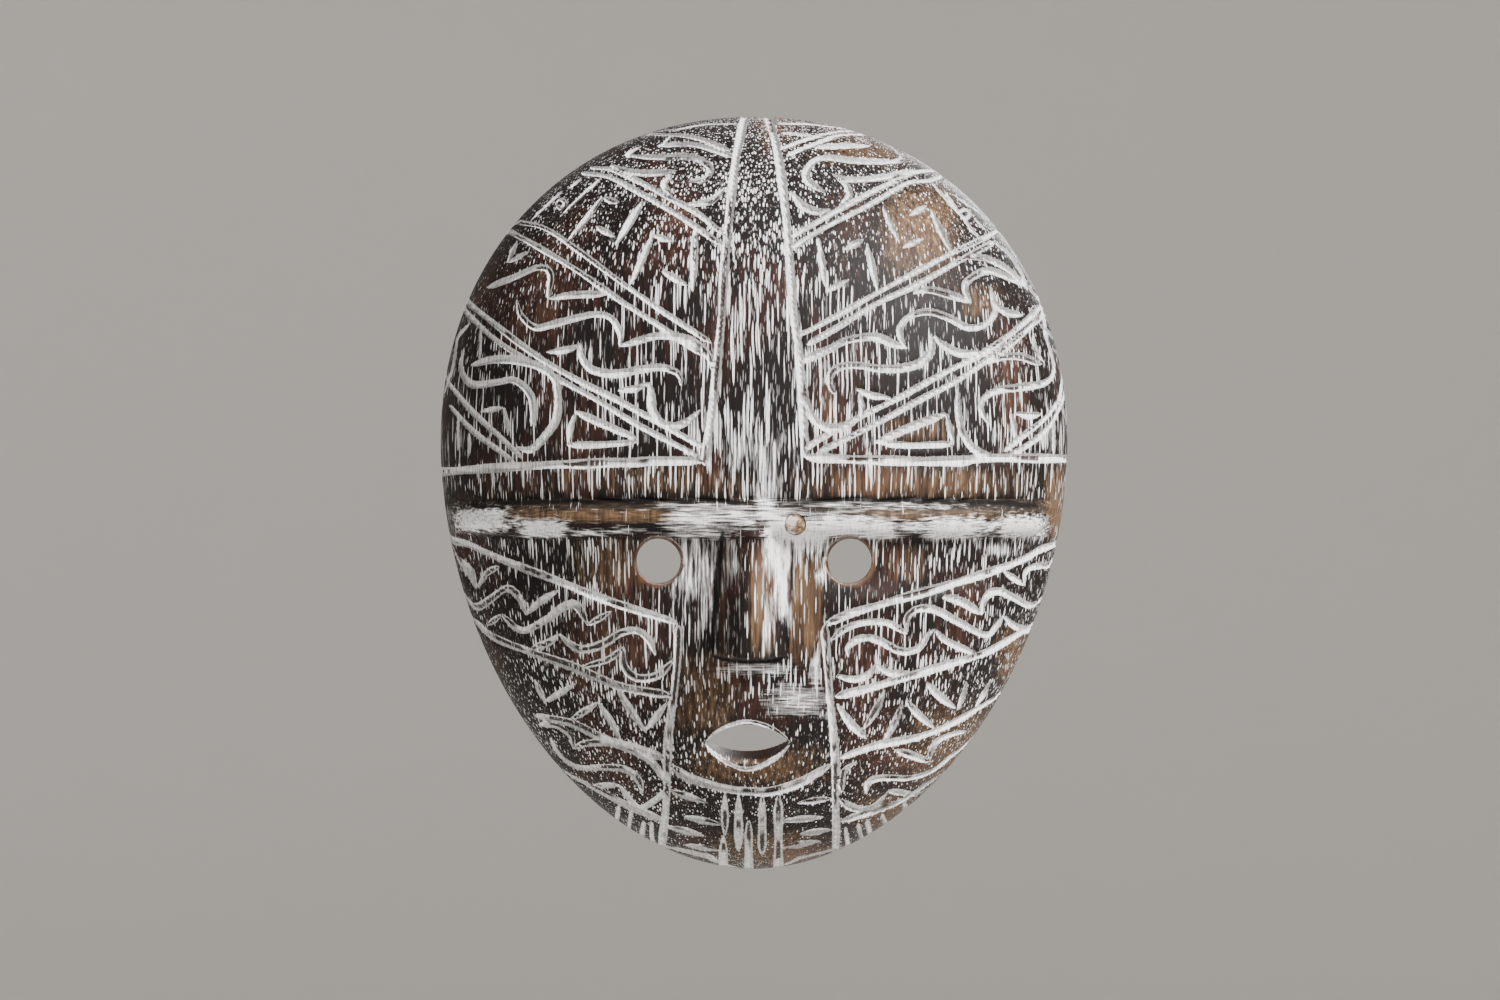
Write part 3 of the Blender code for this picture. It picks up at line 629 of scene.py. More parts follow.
def measure_cuts(points, cuts):
    """Each point's distance outside the nearest cut, the gouge's depth, and 0 to 1 from edge to middle."""
    edge = np.full(len(points), REACH)
    depth = np.zeros(len(points))
    core = np.zeros(len(points))
    for line, normals, half in cuts:
        low = line.min(axis=0) - REACH - SEARCH
        high = line.max(axis=0) + REACH + SEARCH
        near = np.flatnonzero(np.all((points > low) & (points < high), axis=1))
        if not len(near):
            continue
        place = points[near]
        best = np.full(len(near), REACH)
        deep = np.zeros(len(near))
        middle = np.zeros(len(near))
        for start, end, normal, wide, wide_after in zip(line, line[1:], normals, half, half[1:]):
            run = end - start
            offset = place - start
            share = np.clip(offset @ run / (run @ run), 0, 1)
            aside = offset - share[:, None] * run
            height = aside @ normal
            aside -= height[:, None] * normal
            distance = np.linalg.norm(aside, axis=1)
            width = wide + (wide_after - wide) * share
            clear = distance - width
            within = np.clip(1 - (distance / width) ** 2, 0, 1)
            elsewhere = np.abs(height) > SAME_FACE
            clear[elsewhere] = REACH
            within[elsewhere] = 0
            best = np.minimum(best, clear)
            deep = np.maximum(deep, GROOVE_DEPTH_SHARE * width * within**0.75)
            middle = np.maximum(middle, within)
        edge[near] = np.minimum(edge[near], best)
        depth[near] = np.maximum(depth[near], deep)
        core[near] = np.maximum(core[near], middle)
    return edge, depth, core


def relief(base):
    """How far the brow and the sockets stand out of the dome, and how far the nose stands forward."""
    x, z = base[:, 0], base[:, 2]
    fullness, reach = outline(np.array(BROW_Z - BELLY_Z))
    half = HALF_WIDTH * (1 - abs((BROW_Z - BELLY_Z) / reach) ** fullness) ** (1 / fullness)
    half = half - BROW_END_MARGIN
    end = np.clip((np.abs(x) / half - (1 - BROW_ROUNDED)) / BROW_ROUNDED, 0, 1) ** 2
    radius = BROW_RADIUS - BROW_END_THINNING * end
    level = z - BROW_Z
    bar = np.sqrt(np.maximum(radius**2 - level**2, 0)) - radius + BROW_PROUD * (1 - end)
    bar = np.where(np.abs(x) < half, np.maximum(bar, 0), 0)
    front = smooth(base[:, 1], *SOCKET_FADE)
    below = z - SOCKET_Z
    scoop = np.sqrt(np.maximum(SOCKET_RADIUS**2 - below**2, 0)) - SOCKET_RADIUS + SOCKET_SINK
    scoop = np.maximum(scoop, 0) * front
    crease_depth, crease_width = BROW_CREASE
    crease = crease_depth * np.exp(-((level - BROW_RADIUS + 0.2) / crease_width) ** 2) * front
    out = np.where(bar > 0, bar, -scoop) - crease

    down = np.clip((NOSE_TOP_Z - z) / (NOSE_TOP_Z - NOSE_TIP_Z), 0, 1)
    nose_half, proud, ridge = (
        at_top + (at_tip - at_top) * down
        for at_top, at_tip in (NOSE_HALF, NOSE_PROUD, NOSE_RIDGE_SHARE)
    )
    aside = np.abs(x - NOSE_X)
    side = np.clip((1 - aside / nose_half) / (1 - ridge), 0, 1)
    tip = NOSE_TIP_Z + NOSE_TIP_BOW * (aside / NOSE_HALF[1]) ** 2
    ends = np.clip((z - tip + NOSE_UNDERCUT) / NOSE_UNDERCUT, 0, 1)
    ends = np.minimum(ends, np.clip((NOSE_TOP_Z + NOSE_ROOT - z) / NOSE_ROOT, 0, 1))
    nose = proud * (1 - (1 - side) ** NOSE_SWELL) * np.sin(math.pi / 2 * ends)
    return out, nose


def new_object(name, bm):
    """Puts a bmesh in the scene as an object, at the origin."""
    mesh = bpy.data.meshes.new(name)
    bm.to_mesh(mesh)
    bm.free()
    made = bpy.data.objects.new(name, mesh)
    bpy.context.scene.collection.objects.link(made)
    return made


def half_sphere(fineness, past=0.0):
    """The half of a ball that faces -Y, closed flat, its open edge carried on past the wall."""
    bm = bmesh.new()
    bmesh.ops.create_icosphere(bm, subdivisions=fineness, radius=1.0)
    everything = bm.verts[:] + bm.edges[:] + bm.faces[:]
    bmesh.ops.bisect_plane(
        bm, geom=everything, dist=1e-5, plane_co=(0, 0, 0), plane_no=(0, 1, 0), clear_outer=True
    )
    rim = [edge for edge in bm.edges if edge.is_boundary]
    if past:
        grown = bmesh.ops.extrude_edge_only(bm, edges=rim)["geom"]
        verts = [item for item in grown if isinstance(item, bmesh.types.BMVert)]
        bmesh.ops.translate(bm, verts=verts, vec=(0, past, 0))
        rim = [item for item in grown if isinstance(item, bmesh.types.BMEdge)]
    bmesh.ops.edgeloop_fill(bm, edges=rim)
    bmesh.ops.recalc_face_normals(bm, faces=bm.faces)
    return bm


def read_points(mesh):
    points = np.empty(len(mesh.vertices) * 3)
    mesh.vertices.foreach_get("co", points)
    return points.reshape(-1, 3)


def write_points(mesh, points):
    mesh.vertices.foreach_set("co", points.astype(np.float32).ravel())
    mesh.update()


def write_attribute(mesh, name, values):
    attribute = mesh.attributes.new(name, "FLOAT", "POINT")
    attribute.data.foreach_set("value", values.astype(np.float32))


def carved_dome(cuts):
    """The solid block with all its carving, closed at the wall plane."""
    bm = half_sphere(DOME_FINENESS)
    for band, takes_face in FINER:
        base = egg_places(bm)
        edge, _, _ = measure_cuts(base, cuts)
        x, z = base[:, 0], base[:, 2]
        near = np.abs(edge) < band
        near |= (np.abs(x) < NOSE_TIP_SPAN) & (np.abs(z - NOSE_TIP_Z) < NOSE_TIP_BAND)
        if takes_face:
            near |= (np.abs(x) < NOSE_SPAN) & (z < BROW_Z + 4) & (z > NOSE_TIP_Z - NOSE_TIP_BAND)
            near |= np.abs(z - BROW_Z) < BROW_RADIUS + 1
        bm.verts.index_update()
        chosen = [item for item in bm.edges if near[[vert.index for vert in item.verts]].any()]
        bmesh.ops.subdivide_edges(bm, edges=chosen, cuts=1, use_grid_fill=True)
        domed = [face for face in bm.faces if len(face.verts) <= MOST_SIDES]
        bmesh.ops.triangulate(bm, faces=domed)
    base = egg_places(bm)
    _, depth, _ = measure_cuts(base, cuts)
    out, nose = relief(base)
    points = base + dome_normal(base) * (out - depth)[:, None]
    points[:, 1] -= np.maximum(nose - np.maximum(out, 0), 0)
    points[:, 1] = np.minimum(points[:, 1], 0)
    block = new_object("carved_shell", bm)
    write_points(block.data, points * MM)
    return block


def egg_places(bm):
    """Where each point of the half ball lies on the dome."""
    unit = np.array([vert.co for vert in bm.verts])
    unit /= np.linalg.norm(unit, axis=1)[:, None]
    return dome_from_sphere(unit, HALF_WIDTH, CROWN_TO_BELLY, BELLY_TO_CHIN, DEPTH)


def cut_away(block, cutter):
    """Takes the cutter's shape out of the block and deletes the cutter."""
    modifier = block.modifiers.new("cut", "BOOLEAN")
    modifier.operation = "DIFFERENCE"
    modifier.solver = "MANIFOLD"
    modifier.object = cutter
    graph = bpy.context.evaluated_depsgraph_get()
    cut = bpy.data.meshes.new_from_object(block.evaluated_get(graph))
    block.modifiers.clear()
    old = block.data
    block.data = cut
    bpy.data.meshes.remove(old)
    bpy.data.objects.remove(cutter)


def hollow():
    """The hollow behind the face, dug with a broad gouge and squared off under the hanger ledge."""
    cutter = new_object("hollow", half_sphere(HOLLOW_FINENESS, PAST / DEPTH))
    mesh = cutter.data
    unit = read_points(mesh)
    points = dome_from_sphere(
        unit, HALF_WIDTH - RIM_WALL, CROWN_TO_BELLY - RIM_WALL, BELLY_TO_CHIN - RIM_WALL,
        DEPTH - FACE_WALL,
    )
    scoops = np.array([noise.voronoi(Vector(place) / SCOOP_SIZE)[0][0] for place in points])
    off_rim = np.clip(-unit[:, 1] * 8, 0, 1)
    points[:, 1] += off_rim * (scoops * SCOOP_DEPTH - SCOOP_SHIFT)
    points[unit[:, 1] > 1e-6, 1] = PAST
    write_points(mesh, points * MM)
    bm = bmesh.new()
    bm.from_mesh(mesh)
    everything = bm.verts[:] + bm.edges[:] + bm.faces[:]
    ledge = (box("hanger_plate")[0].z - POCKET_MARGIN - LEDGE_WALL) * MM
    cut = bmesh.ops.bisect_plane(
        bm, geom=everything, plane_co=(0, 0, ledge), plane_no=(0, 0, 1), clear_outer=True
    )
    edges = [item for item in cut["geom_cut"] if isinstance(item, bmesh.types.BMEdge)]
    bmesh.ops.edgeloop_fill(bm, edges=edges)
    bmesh.ops.recalc_face_normals(bm, faces=bm.faces)
    bm.to_mesh(mesh)
    bm.free()
    return cutter


def drill(radius, x, z, front_y, back_y, sides):
    """A round bit through the block, along Y."""
    bm = bmesh.new()
    bmesh.ops.create_cone(
        bm, cap_ends=True, segments=sides, radius1=radius * MM, radius2=radius * MM,
        depth=(back_y - front_y) * MM,
    )
    bmesh.ops.rotate(bm, verts=bm.verts, matrix=Matrix.Rotation(math.radians(90), 3, "X"))
    bmesh.ops.translate(bm, verts=bm.verts, vec=(x * MM, (front_y + back_y) / 2 * MM, z * MM))
    return new_object("drill", bm)


def lip_arc(drop, sides=20):
    """The arc of one lip, from corner to corner, that rises or drops by a height."""
    height = abs(drop)
    radius = (MOUTH_HALF_LENGTH**2 + height**2) / (2 * height)
    sweep = math.asin(MOUTH_HALF_LENGTH / radius)
    points = []
    for number in range(sides + 1):
        angle = sweep * (1 - 2 * number / sides)
        rise = radius * math.cos(angle) - (radius - height)
        points.append((radius * math.sin(angle), math.copysign(rise, drop)))
    return points


def mouth():
    """The almond opening, its lower lip sloping up towards the hollow."""
    wall = dome_front(0, MOUTH_Z)
    front_y, back_y = wall - PAST, wall + FACE_WALL + PAST
    upper = lip_arc(MOUTH_UPPER_RISE)
    bm = bmesh.new()
    rings = []
    for y in (front_y, back_y):
        share = (y - wall) / FACE_WALL
        drop = MOUTH_LOWER_DROP + (MOUTH_BACK_DROP - MOUTH_LOWER_DROP) * share
        lower = lip_arc(-max(drop, MOUTH_BACK_DROP / 2))
        almond = upper + lower[::-1][1:-1]
        ring = [
            bm.verts.new(((MOUTH_X + x) * MM, y * MM, (MOUTH_Z + z) * MM)) for x, z in almond
        ]
        rings.append(ring)
    faces = [bm.faces.new(ring) for ring in rings]
    edges = [edge for face in faces for edge in face.edges]
    bmesh.ops.bridge_loops(bm, edges=edges)
    bmesh.ops.recalc_face_normals(bm, faces=bm.faces)
    return new_object("mouth", bm)


def dome_from_front(points):
    """The point of the plain dome straight behind or in front of each point."""
    flat = points.copy()
    flat[:, 1] = 0
    inside = np.minimum(dome_value(flat), 1)
    flat[:, 1] = -DEPTH * (1 - inside) ** (1 / DOME_FULLNESS)
    return flat


def dome_front(x, z):
    """The dome's y at x and z."""
    return dome_from_front(np.array([(x, 0.0, z)]))[0, 1]


def pocket():
    """The recess that the hanger lies in."""
    plate_low, plate_high = box("hanger_plate")
    low = Vector((plate_low.x - POCKET_MARGIN, plate_low.y - CLEARANCE, plate_low.z - POCKET_MARGIN))
    high = Vector((plate_high.x + POCKET_MARGIN, PAST, POCKET_TOP)) * MM
    low *= MM
    bm = bmesh.new()
    bmesh.ops.create_cube(bm, size=1.0)
    bmesh.ops.scale(bm, verts=bm.verts, vec=high - low)
    bmesh.ops.translate(bm, verts=bm.verts, vec=(low + high) / 2)
    upright = []
    for edge in bm.edges:
        run = edge.verts[1].co - edge.verts[0].co
        if abs(run.y) > 0.9 * run.length:
            upright.append(edge)
    bmesh.ops.bevel(
        bm, geom=upright, offset=POCKET_CORNER * MM, affect="EDGES", segments=8, profile=0.5,
        material=-1,
    )
    return new_object("pocket", bm)


def carved_shell(cuts):
    """The carved block, hollowed, with its eyes, mouth, hanger pocket, screw bores and plug bore."""
    block = carved_dome(cuts)
    cut_away(block, hollow())
    for side in (-1, 1):
        x = side * EYE_X
        wall = dome_front(x, EYE_Z)
        cut_away(block, drill(EYE_RADIUS, x, EYE_Z, wall - PAST, wall + FACE_WALL + PAST, 64))
    cut_away(block, mouth())
    cut_away(block, pocket())
    for name in ("hanger_screw_left", "hanger_screw_right"):
        low, high = box(name)
        middle = (low + high) / 2
        cut_away(block, drill(SCREW_BORE_RADIUS, middle.x, middle.z, low.y, 0, 24))
    low, high = box("brow_plug")
    middle = (low + high) / 2
    radius = (high.x - low.x) / 2 + CLEARANCE
    cut_away(block, drill(radius, middle.x, middle.z, low.y - PAST, high.y + CLEARANCE, 48))
    return block


def drawn_place(points):
    """Where the viewing point sees each point on the drawing plane, as x and z."""
    share = CAMERA[1] / (CAMERA[1] - points[:, 1])
    x = CAMERA[0] + (points[:, 0] - CAMERA[0]) * share
    z = CAMERA[2] + (points[:, 2] - CAMERA[2]) * share
    return x, z


# Lime wiped on thickly, as soft patches on the drawing plane: x, z, half width, half height, strength.
SMEARS = [
    (-109, -145.8, 10.5, 4.6, 0.9), (-95, -146.8, 7, 1.8, 0.62), (-84.5, -149.2, 9, 3.4, 0.95),
    (-66, -151, 8, 1.4, 0.62), (-52, -150, 8, 1.2, 0.5), (-22, -147, 14, 7, 0.57),
    (-24, -163, 10, 14, 0.47), (-19, -180, 5, 12, 0.44), (-5, -144.5, 6, 4.5, 0.66),
    (-9, -166, 3.5, 17, 0.34), (5, -138, 4.5, 9, 0.6), (17, -151, 11, 7, 0.9),
    (25, -153, 6, 6, 0.8), (36, -148.4, 12, 4.2, 0.92), (50, -149.6, 7.5, 4, 0.9),
    (63, -148.8, 6, 2.3, 0.66), (80, -149.2, 11, 4.2, 0.95), (94, -148.6, 6, 2, 0.7),
    (107, -148.6, 9.5, 4.2, 0.92), (10, -155, 5.5, 13, 0.85), (11, -172, 3.6, 14, 0.72),
    (5.5, -186, 1.8, 12, 0.55), (45, -140, 38, 1.6, 0.46), (-20, -140.5, 22, 1.6, 0.42),
    (0, -205.5, 14, 2.2, 0.56), (24.5, -205, 2, 6, 0.7), (17, -218, 12, 6, 0.52),
    (27, -169, 3, 2, 0.7), (0, -120, 14, 8, 0.36), (98, -158, 7, 2.4, 0.5),
]
# Wood rubbed back through the stain, in the same way.
RUBBED = [
    (66, -30, 15, 17, 0.6), (90, -59, 9, 7, 0.45), (44, 0.5, 20, 5, 0.42), (62, -131, 46, 6, 0.5),
    (-44, -130, 56, 6, 0.36), (121, -140, 4.5, 15, 0.6), (21, -180, 7, 24, 0.62),
    (3.5, -178, 5, 20, 0.7), (-66, -144.2, 44, 2.6, 0.62), (72, -143.8, 40, 2.2, 0.5),
    (-58, -163, 14, 11, 0.48), (62, -163, 9, 8, 0.38), (-20, -216, 14, 16, 0.48), (8, 8, 6, 8, 0.4),
    (104, -200, 7, 12, 0.55), (82, -238, 20, 18, 0.52), (56, -263, 18, 8, 0.5),
    (0, -244, 28, 8, 0.5), (6, -277, 22, 7, 0.5), (66, -110, 16, 6, 0.35),
]
# How thickly the lime fills the pores, in the same way, over a thin coat everywhere.
COAT = [
    (2, -80, 19, 60, 1.0), (0, -112, 22, 18, 1.1), (-30, -40, 22, 30, 0.5), (30, -98, 18, 20, 0.6),
    (-34, -98, 26, 18, 0.6), (0, -20, 16, 30, 0.7), (-60, -128, 60, 5, 0.7), (50, -128, 60, 5, 0.45),
    (-60, -205, 30, 16, 0.4), (62, -205, 30, 14, 0.4), (-60, -160, 40, 9, 0.5),
    (104, -112, 14, 14, 0.5), (-100, -112, 14, 12, 0.3), (0, -208, 20, 8, 0.5),
    (78, -160, 30, 8, 0.45),
]
# Where the pores hold little of it. The last patch, down the left side of the nose, is painted shade: it
# thins the lime so that the side turned from the light reads darker.
SPARSE_LIME_AND_NOSE_SHADE = [
    (0, -270, 40, 15, 0.55), (-112, -40, 20, 40, 0.45), (-118, -140, 10, 40, 0.4),
    (-112, -200, 24, 30, 0.35), (78, -48, 20, 10, 0.3), (62, -30, 20, 12, 0.3),
    (-70, -62, 16, 10, 0.4), (48, -92, 12, 6, 0.4), (0, -222, 26, 8, 0.25), (0, -248, 26, 6, 0.3),
    (112, -44, 12, 30, 0.3), (16, -178, 14, 22, 0.3), (-9, -180, 7, 20, 0.45),
]
# Where the lime has worn through in the middle of the cuts.
THROUGH = [
    (-70, -124, 60, 5, 1.0), (-80, -172, 50, 16, 0.7), (-74, -206, 44, 14, 0.8),
    (-33, -235, 5, 45, 0.8), (0, -270, 22, 14, 0.9), (33, -240, 5, 40, 0.6), (-60, -240, 26, 16, 0.6),
    (-16, -60, 8, 60, 0.7), (-70, -40, 40, 20, 0.4), (110, -121, 14, 4, 0.6),
]
# Where wiping ran from side to side, off the brow.
SIDEWAYS = [(17, -218, 14, 8, 1.0), (0, -205.5, 16, 3.5, 1.0)]


def patches(x, z, spots):
    """The strongest, at each place, of some soft-edged oblong spots."""
    total = np.zeros(len(x))
    for spot_x, spot_z, wide, high, strength in spots:
        distance = np.sqrt(((x - spot_x) / wide) ** 4 + ((z - spot_z) / high) ** 4)
        total = np.maximum(total, strength * np.exp(-0.7 * distance**1.5))
    return total


def grain_places(plain):
    """Where each point lies in the wood's grain, which follows the dome where it is nearly upright."""
    levels = np.linspace(BELLY_Z - BELLY_TO_CHIN, BELLY_Z + CROWN_TO_BELLY, 600)
    middle = np.column_stack([np.zeros(len(levels)), np.zeros(len(levels)), levels])
    slopes = np.gradient(dome_from_front(middle)[:, 1], levels)
    rise = np.cumsum(np.clip(slopes, -GRAIN_SLOPE, GRAIN_SLOPE)) * (levels[1] - levels[0])
    in_grain = plain.copy()
    in_grain[:, 1] -= np.interp(plain[:, 2], levels, rise)
    return in_grain


def worn_edges(points, plain):
    """1 on the rims of the eyes and on the lips' inner slopes, where the finish has gone."""
    rim = np.full(len(points), REACH)
    for side in (-1, 1):
        out = np.hypot(points[:, 0] - side * EYE_X, points[:, 2] - EYE_Z)
        rim = np.minimum(rim, np.abs(out - EYE_RADIUS))
    by_eye = smooth(rim, 1.7, 0.9)
    lips = (np.abs(points[:, 0] - MOUTH_X) < MOUTH_HALF_LENGTH) & (np.abs(points[:, 2] - MOUTH_Z) < 10)
    return np.maximum(by_eye, smooth(points[:, 1] - plain[:, 1], 1.0, 2.0) * lips)


def paint_attributes(block, cuts, painted_shade_lines):
    """Writes what the finish reads: the cuts' edges and cores, the lines of painted shade, and the
    patches.
    """
    mesh = block.data
    points = read_points(mesh) / MM
    front = dome_value(points) > OUTER
    edge, _, core = measure_cuts(points, cuts)
    edge[~front] = REACH
    core[~front] = 0
    x, z = drawn_place(points)
    plain = dome_from_front(points)
    shade, _, _ = measure_cuts(plain, painted_shade_lines)
    level = points[:, 2] - BROW_Z
    bar = smooth(BROW_RADIUS - np.abs(level), -0.6, 0.6) * smooth(-points[:, 1], 20, 28) * front
    marks = {
        "cut": edge,
        "core": core,
        # crease is painted shade: near black along the nose's sides, under its tip and along the brow's
        # top.
        "crease": smooth(-shade, -0.9, 0.3) * front,
        "smear": patches(x, z, SMEARS),
        "rubbed": patches(x, z, RUBBED),
        # The coat is also thinned down the left side of the nose, as painted shade.
        "coat": patches(x, z, COAT) - patches(x, z, SPARSE_LIME_AND_NOSE_SHADE),
        "bar": bar,
        "through": patches(x, z, THROUGH),
        "sideways": np.maximum(bar, patches(x, z, SIDEWAYS)),
        "scraped": bar * smooth(level, -1.5, 0.5),
        "worn": worn_edges(points, plain),
    }
    for name, values in marks.items():
        write_attribute(mesh, name, values)
    grain = mesh.attributes.new("grain_place", "FLOAT_VECTOR", "POINT")
    grain.data.foreach_set("vector", (grain_places(plain) * MM).astype(np.float32).ravel())
    return list(marks)


def colour(code):
    """An sRGB hex colour as linear RGBA."""
    channels = []
    for place in (1, 3, 5):
        value = int(code[place:place + 2], 16) / 255
        channels.append(value / 12.92 if value <= 0.04045 else ((value + 0.055) / 1.055) ** 2.4)
    return (*channels, 1.0)


def add(tree, kind, inputs, give=None, **settings):
    """Adds a node with its settings and links, and returns its named or its first live output.

    Inputs are named, or numbered where their names repeat. Math takes its operands as 0, 1 and 2,
    MapRange its value as 0, the range that it is in as 1 and 2 and the new range as 3 and 4, and Mix
    its share as 0 and its two ends as 2 and 3, or as 6 and 7 for colours. Text is a hex colour.
    """
    node = tree.nodes.new("ShaderNode" + kind)
    for name, value in settings.items():
        setattr(node, name, value)
    for key, value in inputs.items():
        if isinstance(value, bpy.types.NodeSocket):
            tree.links.new(value, node.inputs[key])
        else:
            node.inputs[key].default_value = colour(value) if isinstance(value, str) else value
    if give:
        return node.outputs[give]
    return next(output for output in node.outputs if output.enabled)


def new_material(name, **values):
    """A material with its node tree and its shader, which is given some plain values."""
    material = bpy.data.materials.new(name)
    material.use_nodes = True
    tree = material.node_tree
    shader = tree.nodes["Principled BSDF"]
    for key, value in values.items():
        shader.inputs[key.replace("_", " ")].default_value = value
    return material, tree, shader


def wire(tree, shader, links):
    """Links outputs to the shader's inputs of a name."""
    for key, output in links.items():
        tree.links.new(output, shader.inputs[key])


def in_cells(tree, kind, place, across, along=None, deep=None, **values):
    """A texture in cells of a size in millimetres: across the upright grain, along it and in depth."""
    scale = (1000 / across, 1000 / (deep or across), 1000 / (along or across))
    cells = add(tree, "Mapping", {"Vector": place, "Scale": scale})
    return add(tree, kind, {"Vector": cells, "Scale": 1.0, **values})


def toned(tree, value, low, high, under, over, most=1.0):
    """Goes from one colour to another, or most of the way, as a value goes from low to high."""
    share = add(tree, "MapRange", {0: value, 1: low, 2: high, 4: most})
    return add(tree, "Mix", {0: share, 6: under, 7: over}, data_type="RGBA")


def pore_lime(tree, place, bent, ragged, marks):
    """Lime in the open pores: up to 0.8 mm wide, about 1 mm apart and up to 24 mm long."""
    pore = in_cells(tree, "TexVoronoi", bent, 1.02, 24.0, Randomness=0.85)
    chance = add(tree, "SeparateColor", {"Color": pore.node.outputs["Color"]})
    shape = add(tree, "Math", {0: chance, 1: 0.2, 2: pore}, operation="MULTIPLY_ADD")
    shape = add(tree, "Math", {0: ragged, 1: 0.12, 2: shape}, operation="MULTIPLY_ADD")

    patch = in_cells(tree, "TexNoise", place, 21.74, Detail=3.0)
    reach = add(tree, "Math", {0: patch, 1: 0.24, 2: 0.28}, operation="MULTIPLY_ADD")
    for mark, weight in (("coat", 0.16), ("rubbed", -0.04), ("bar", -0.17)):
        reach = add(tree, "Math", {0: marks[mark], 1: weight, 2: reach}, operation="MULTIPLY_ADD")
    near_cut = add(tree, "MapRange", {0: marks["cut"], 1: 0.3, 2: 1.6, 3: 0.05, 4: 0.0})
    reach = add(tree, "Math", {0: reach, 1: near_cut}, operation="ADD")
    spare = add(tree, "Math", {0: reach, 1: shape}, operation="SUBTRACT")
    bold = add(tree, "MapRange", {0: spare, 1: -0.02, 2: 0.025, 4: 0.95})

    small = in_cells(tree, "TexVoronoi", bent, 0.62, 8.0, Randomness=0.95)
    spare = add(tree, "Math", {0: reach, 1: -0.5, 2: small}, operation="MULTIPLY_ADD")
    faint = add(tree, "MapRange", {0: spare, 1: 0.02, 2: -0.04, 4: 0.3})
    return add(tree, "Math", {0: bold, 1: faint}, operation="MAXIMUM")


def cut_lime(tree, place, torn, marks):
    """Lime in the cuts, and where it is worn through along the middle of some."""
    edge = add(tree, "Math", {0: torn, 1: 1.1, 2: marks["cut"]}, operation="MULTIPLY_ADD")
    filled = add(tree, "MapRange", {0: edge, 1: 0.12, 2: -0.08})
    wear = in_cells(tree, "TexNoise", place, 23.81, Detail=2.0)
    wear = add(tree, "Math", {0: marks["through"], 1: 0.13, 2: wear}, operation="MULTIPLY_ADD")
    where = add(tree, "MapRange", {0: wear, 1: 0.565, 2: 0.61})
    core = add(tree, "Math", {0: torn, 1: 0.3, 2: marks["core"]}, operation="MULTIPLY_ADD")
    middle = add(tree, "MapRange", {0: core, 1: 0.62, 2: 0.78, 4: 0.95})
    bare = add(tree, "Math", {0: where, 1: middle}, operation="MULTIPLY")
    kept = add(tree, "Math", {0: 1.0, 1: bare}, operation="SUBTRACT")
    return add(tree, "Math", {0: filled, 1: kept}, operation="MULTIPLY"), bare


def stained_wood(tree, place, grain, level, tear, marks):
    """The stain, from nearly black to red-brown, and the bare wood where it is rubbed through."""
    broad = in_cells(tree, "TexNoise", place, 30.0, 46.0, Detail=4.0)
    broad = add(tree, "Math", {0: grain, 1: 0.4, 2: broad}, operation="MULTIPLY_ADD")
    black = add(tree, "Mix", {0: grain, 6: "#060505", 7: "#1f1714"}, data_type="RGBA")
    wood = toned(tree, broad, 0.69, 0.79, black, "#2f1a15", 0.75)
    wood = toned(tree, broad, 0.81, 0.92, wood, "#51392c", 0.7)

    scrape = toned(tree, level, 0.35, 0.65, "#0d0e0c", "#44382d")
    share = add(tree, "Math", {0: marks["scraped"], 1: 0.9}, operation="MULTIPLY")
    wood = add(tree, "Mix", {0: share, 6: wood, 7: scrape}, data_type="RGBA")

    rubbed = toned(tree, grain, 0.3, 0.7, "#412c20", "#8a6c4e")
    edge = add(tree, "Math", {0: marks["rubbed"], 1: tear}, operation="ADD")
    return toned(tree, edge, 0.2, 0.75, wood, rubbed, 0.85)


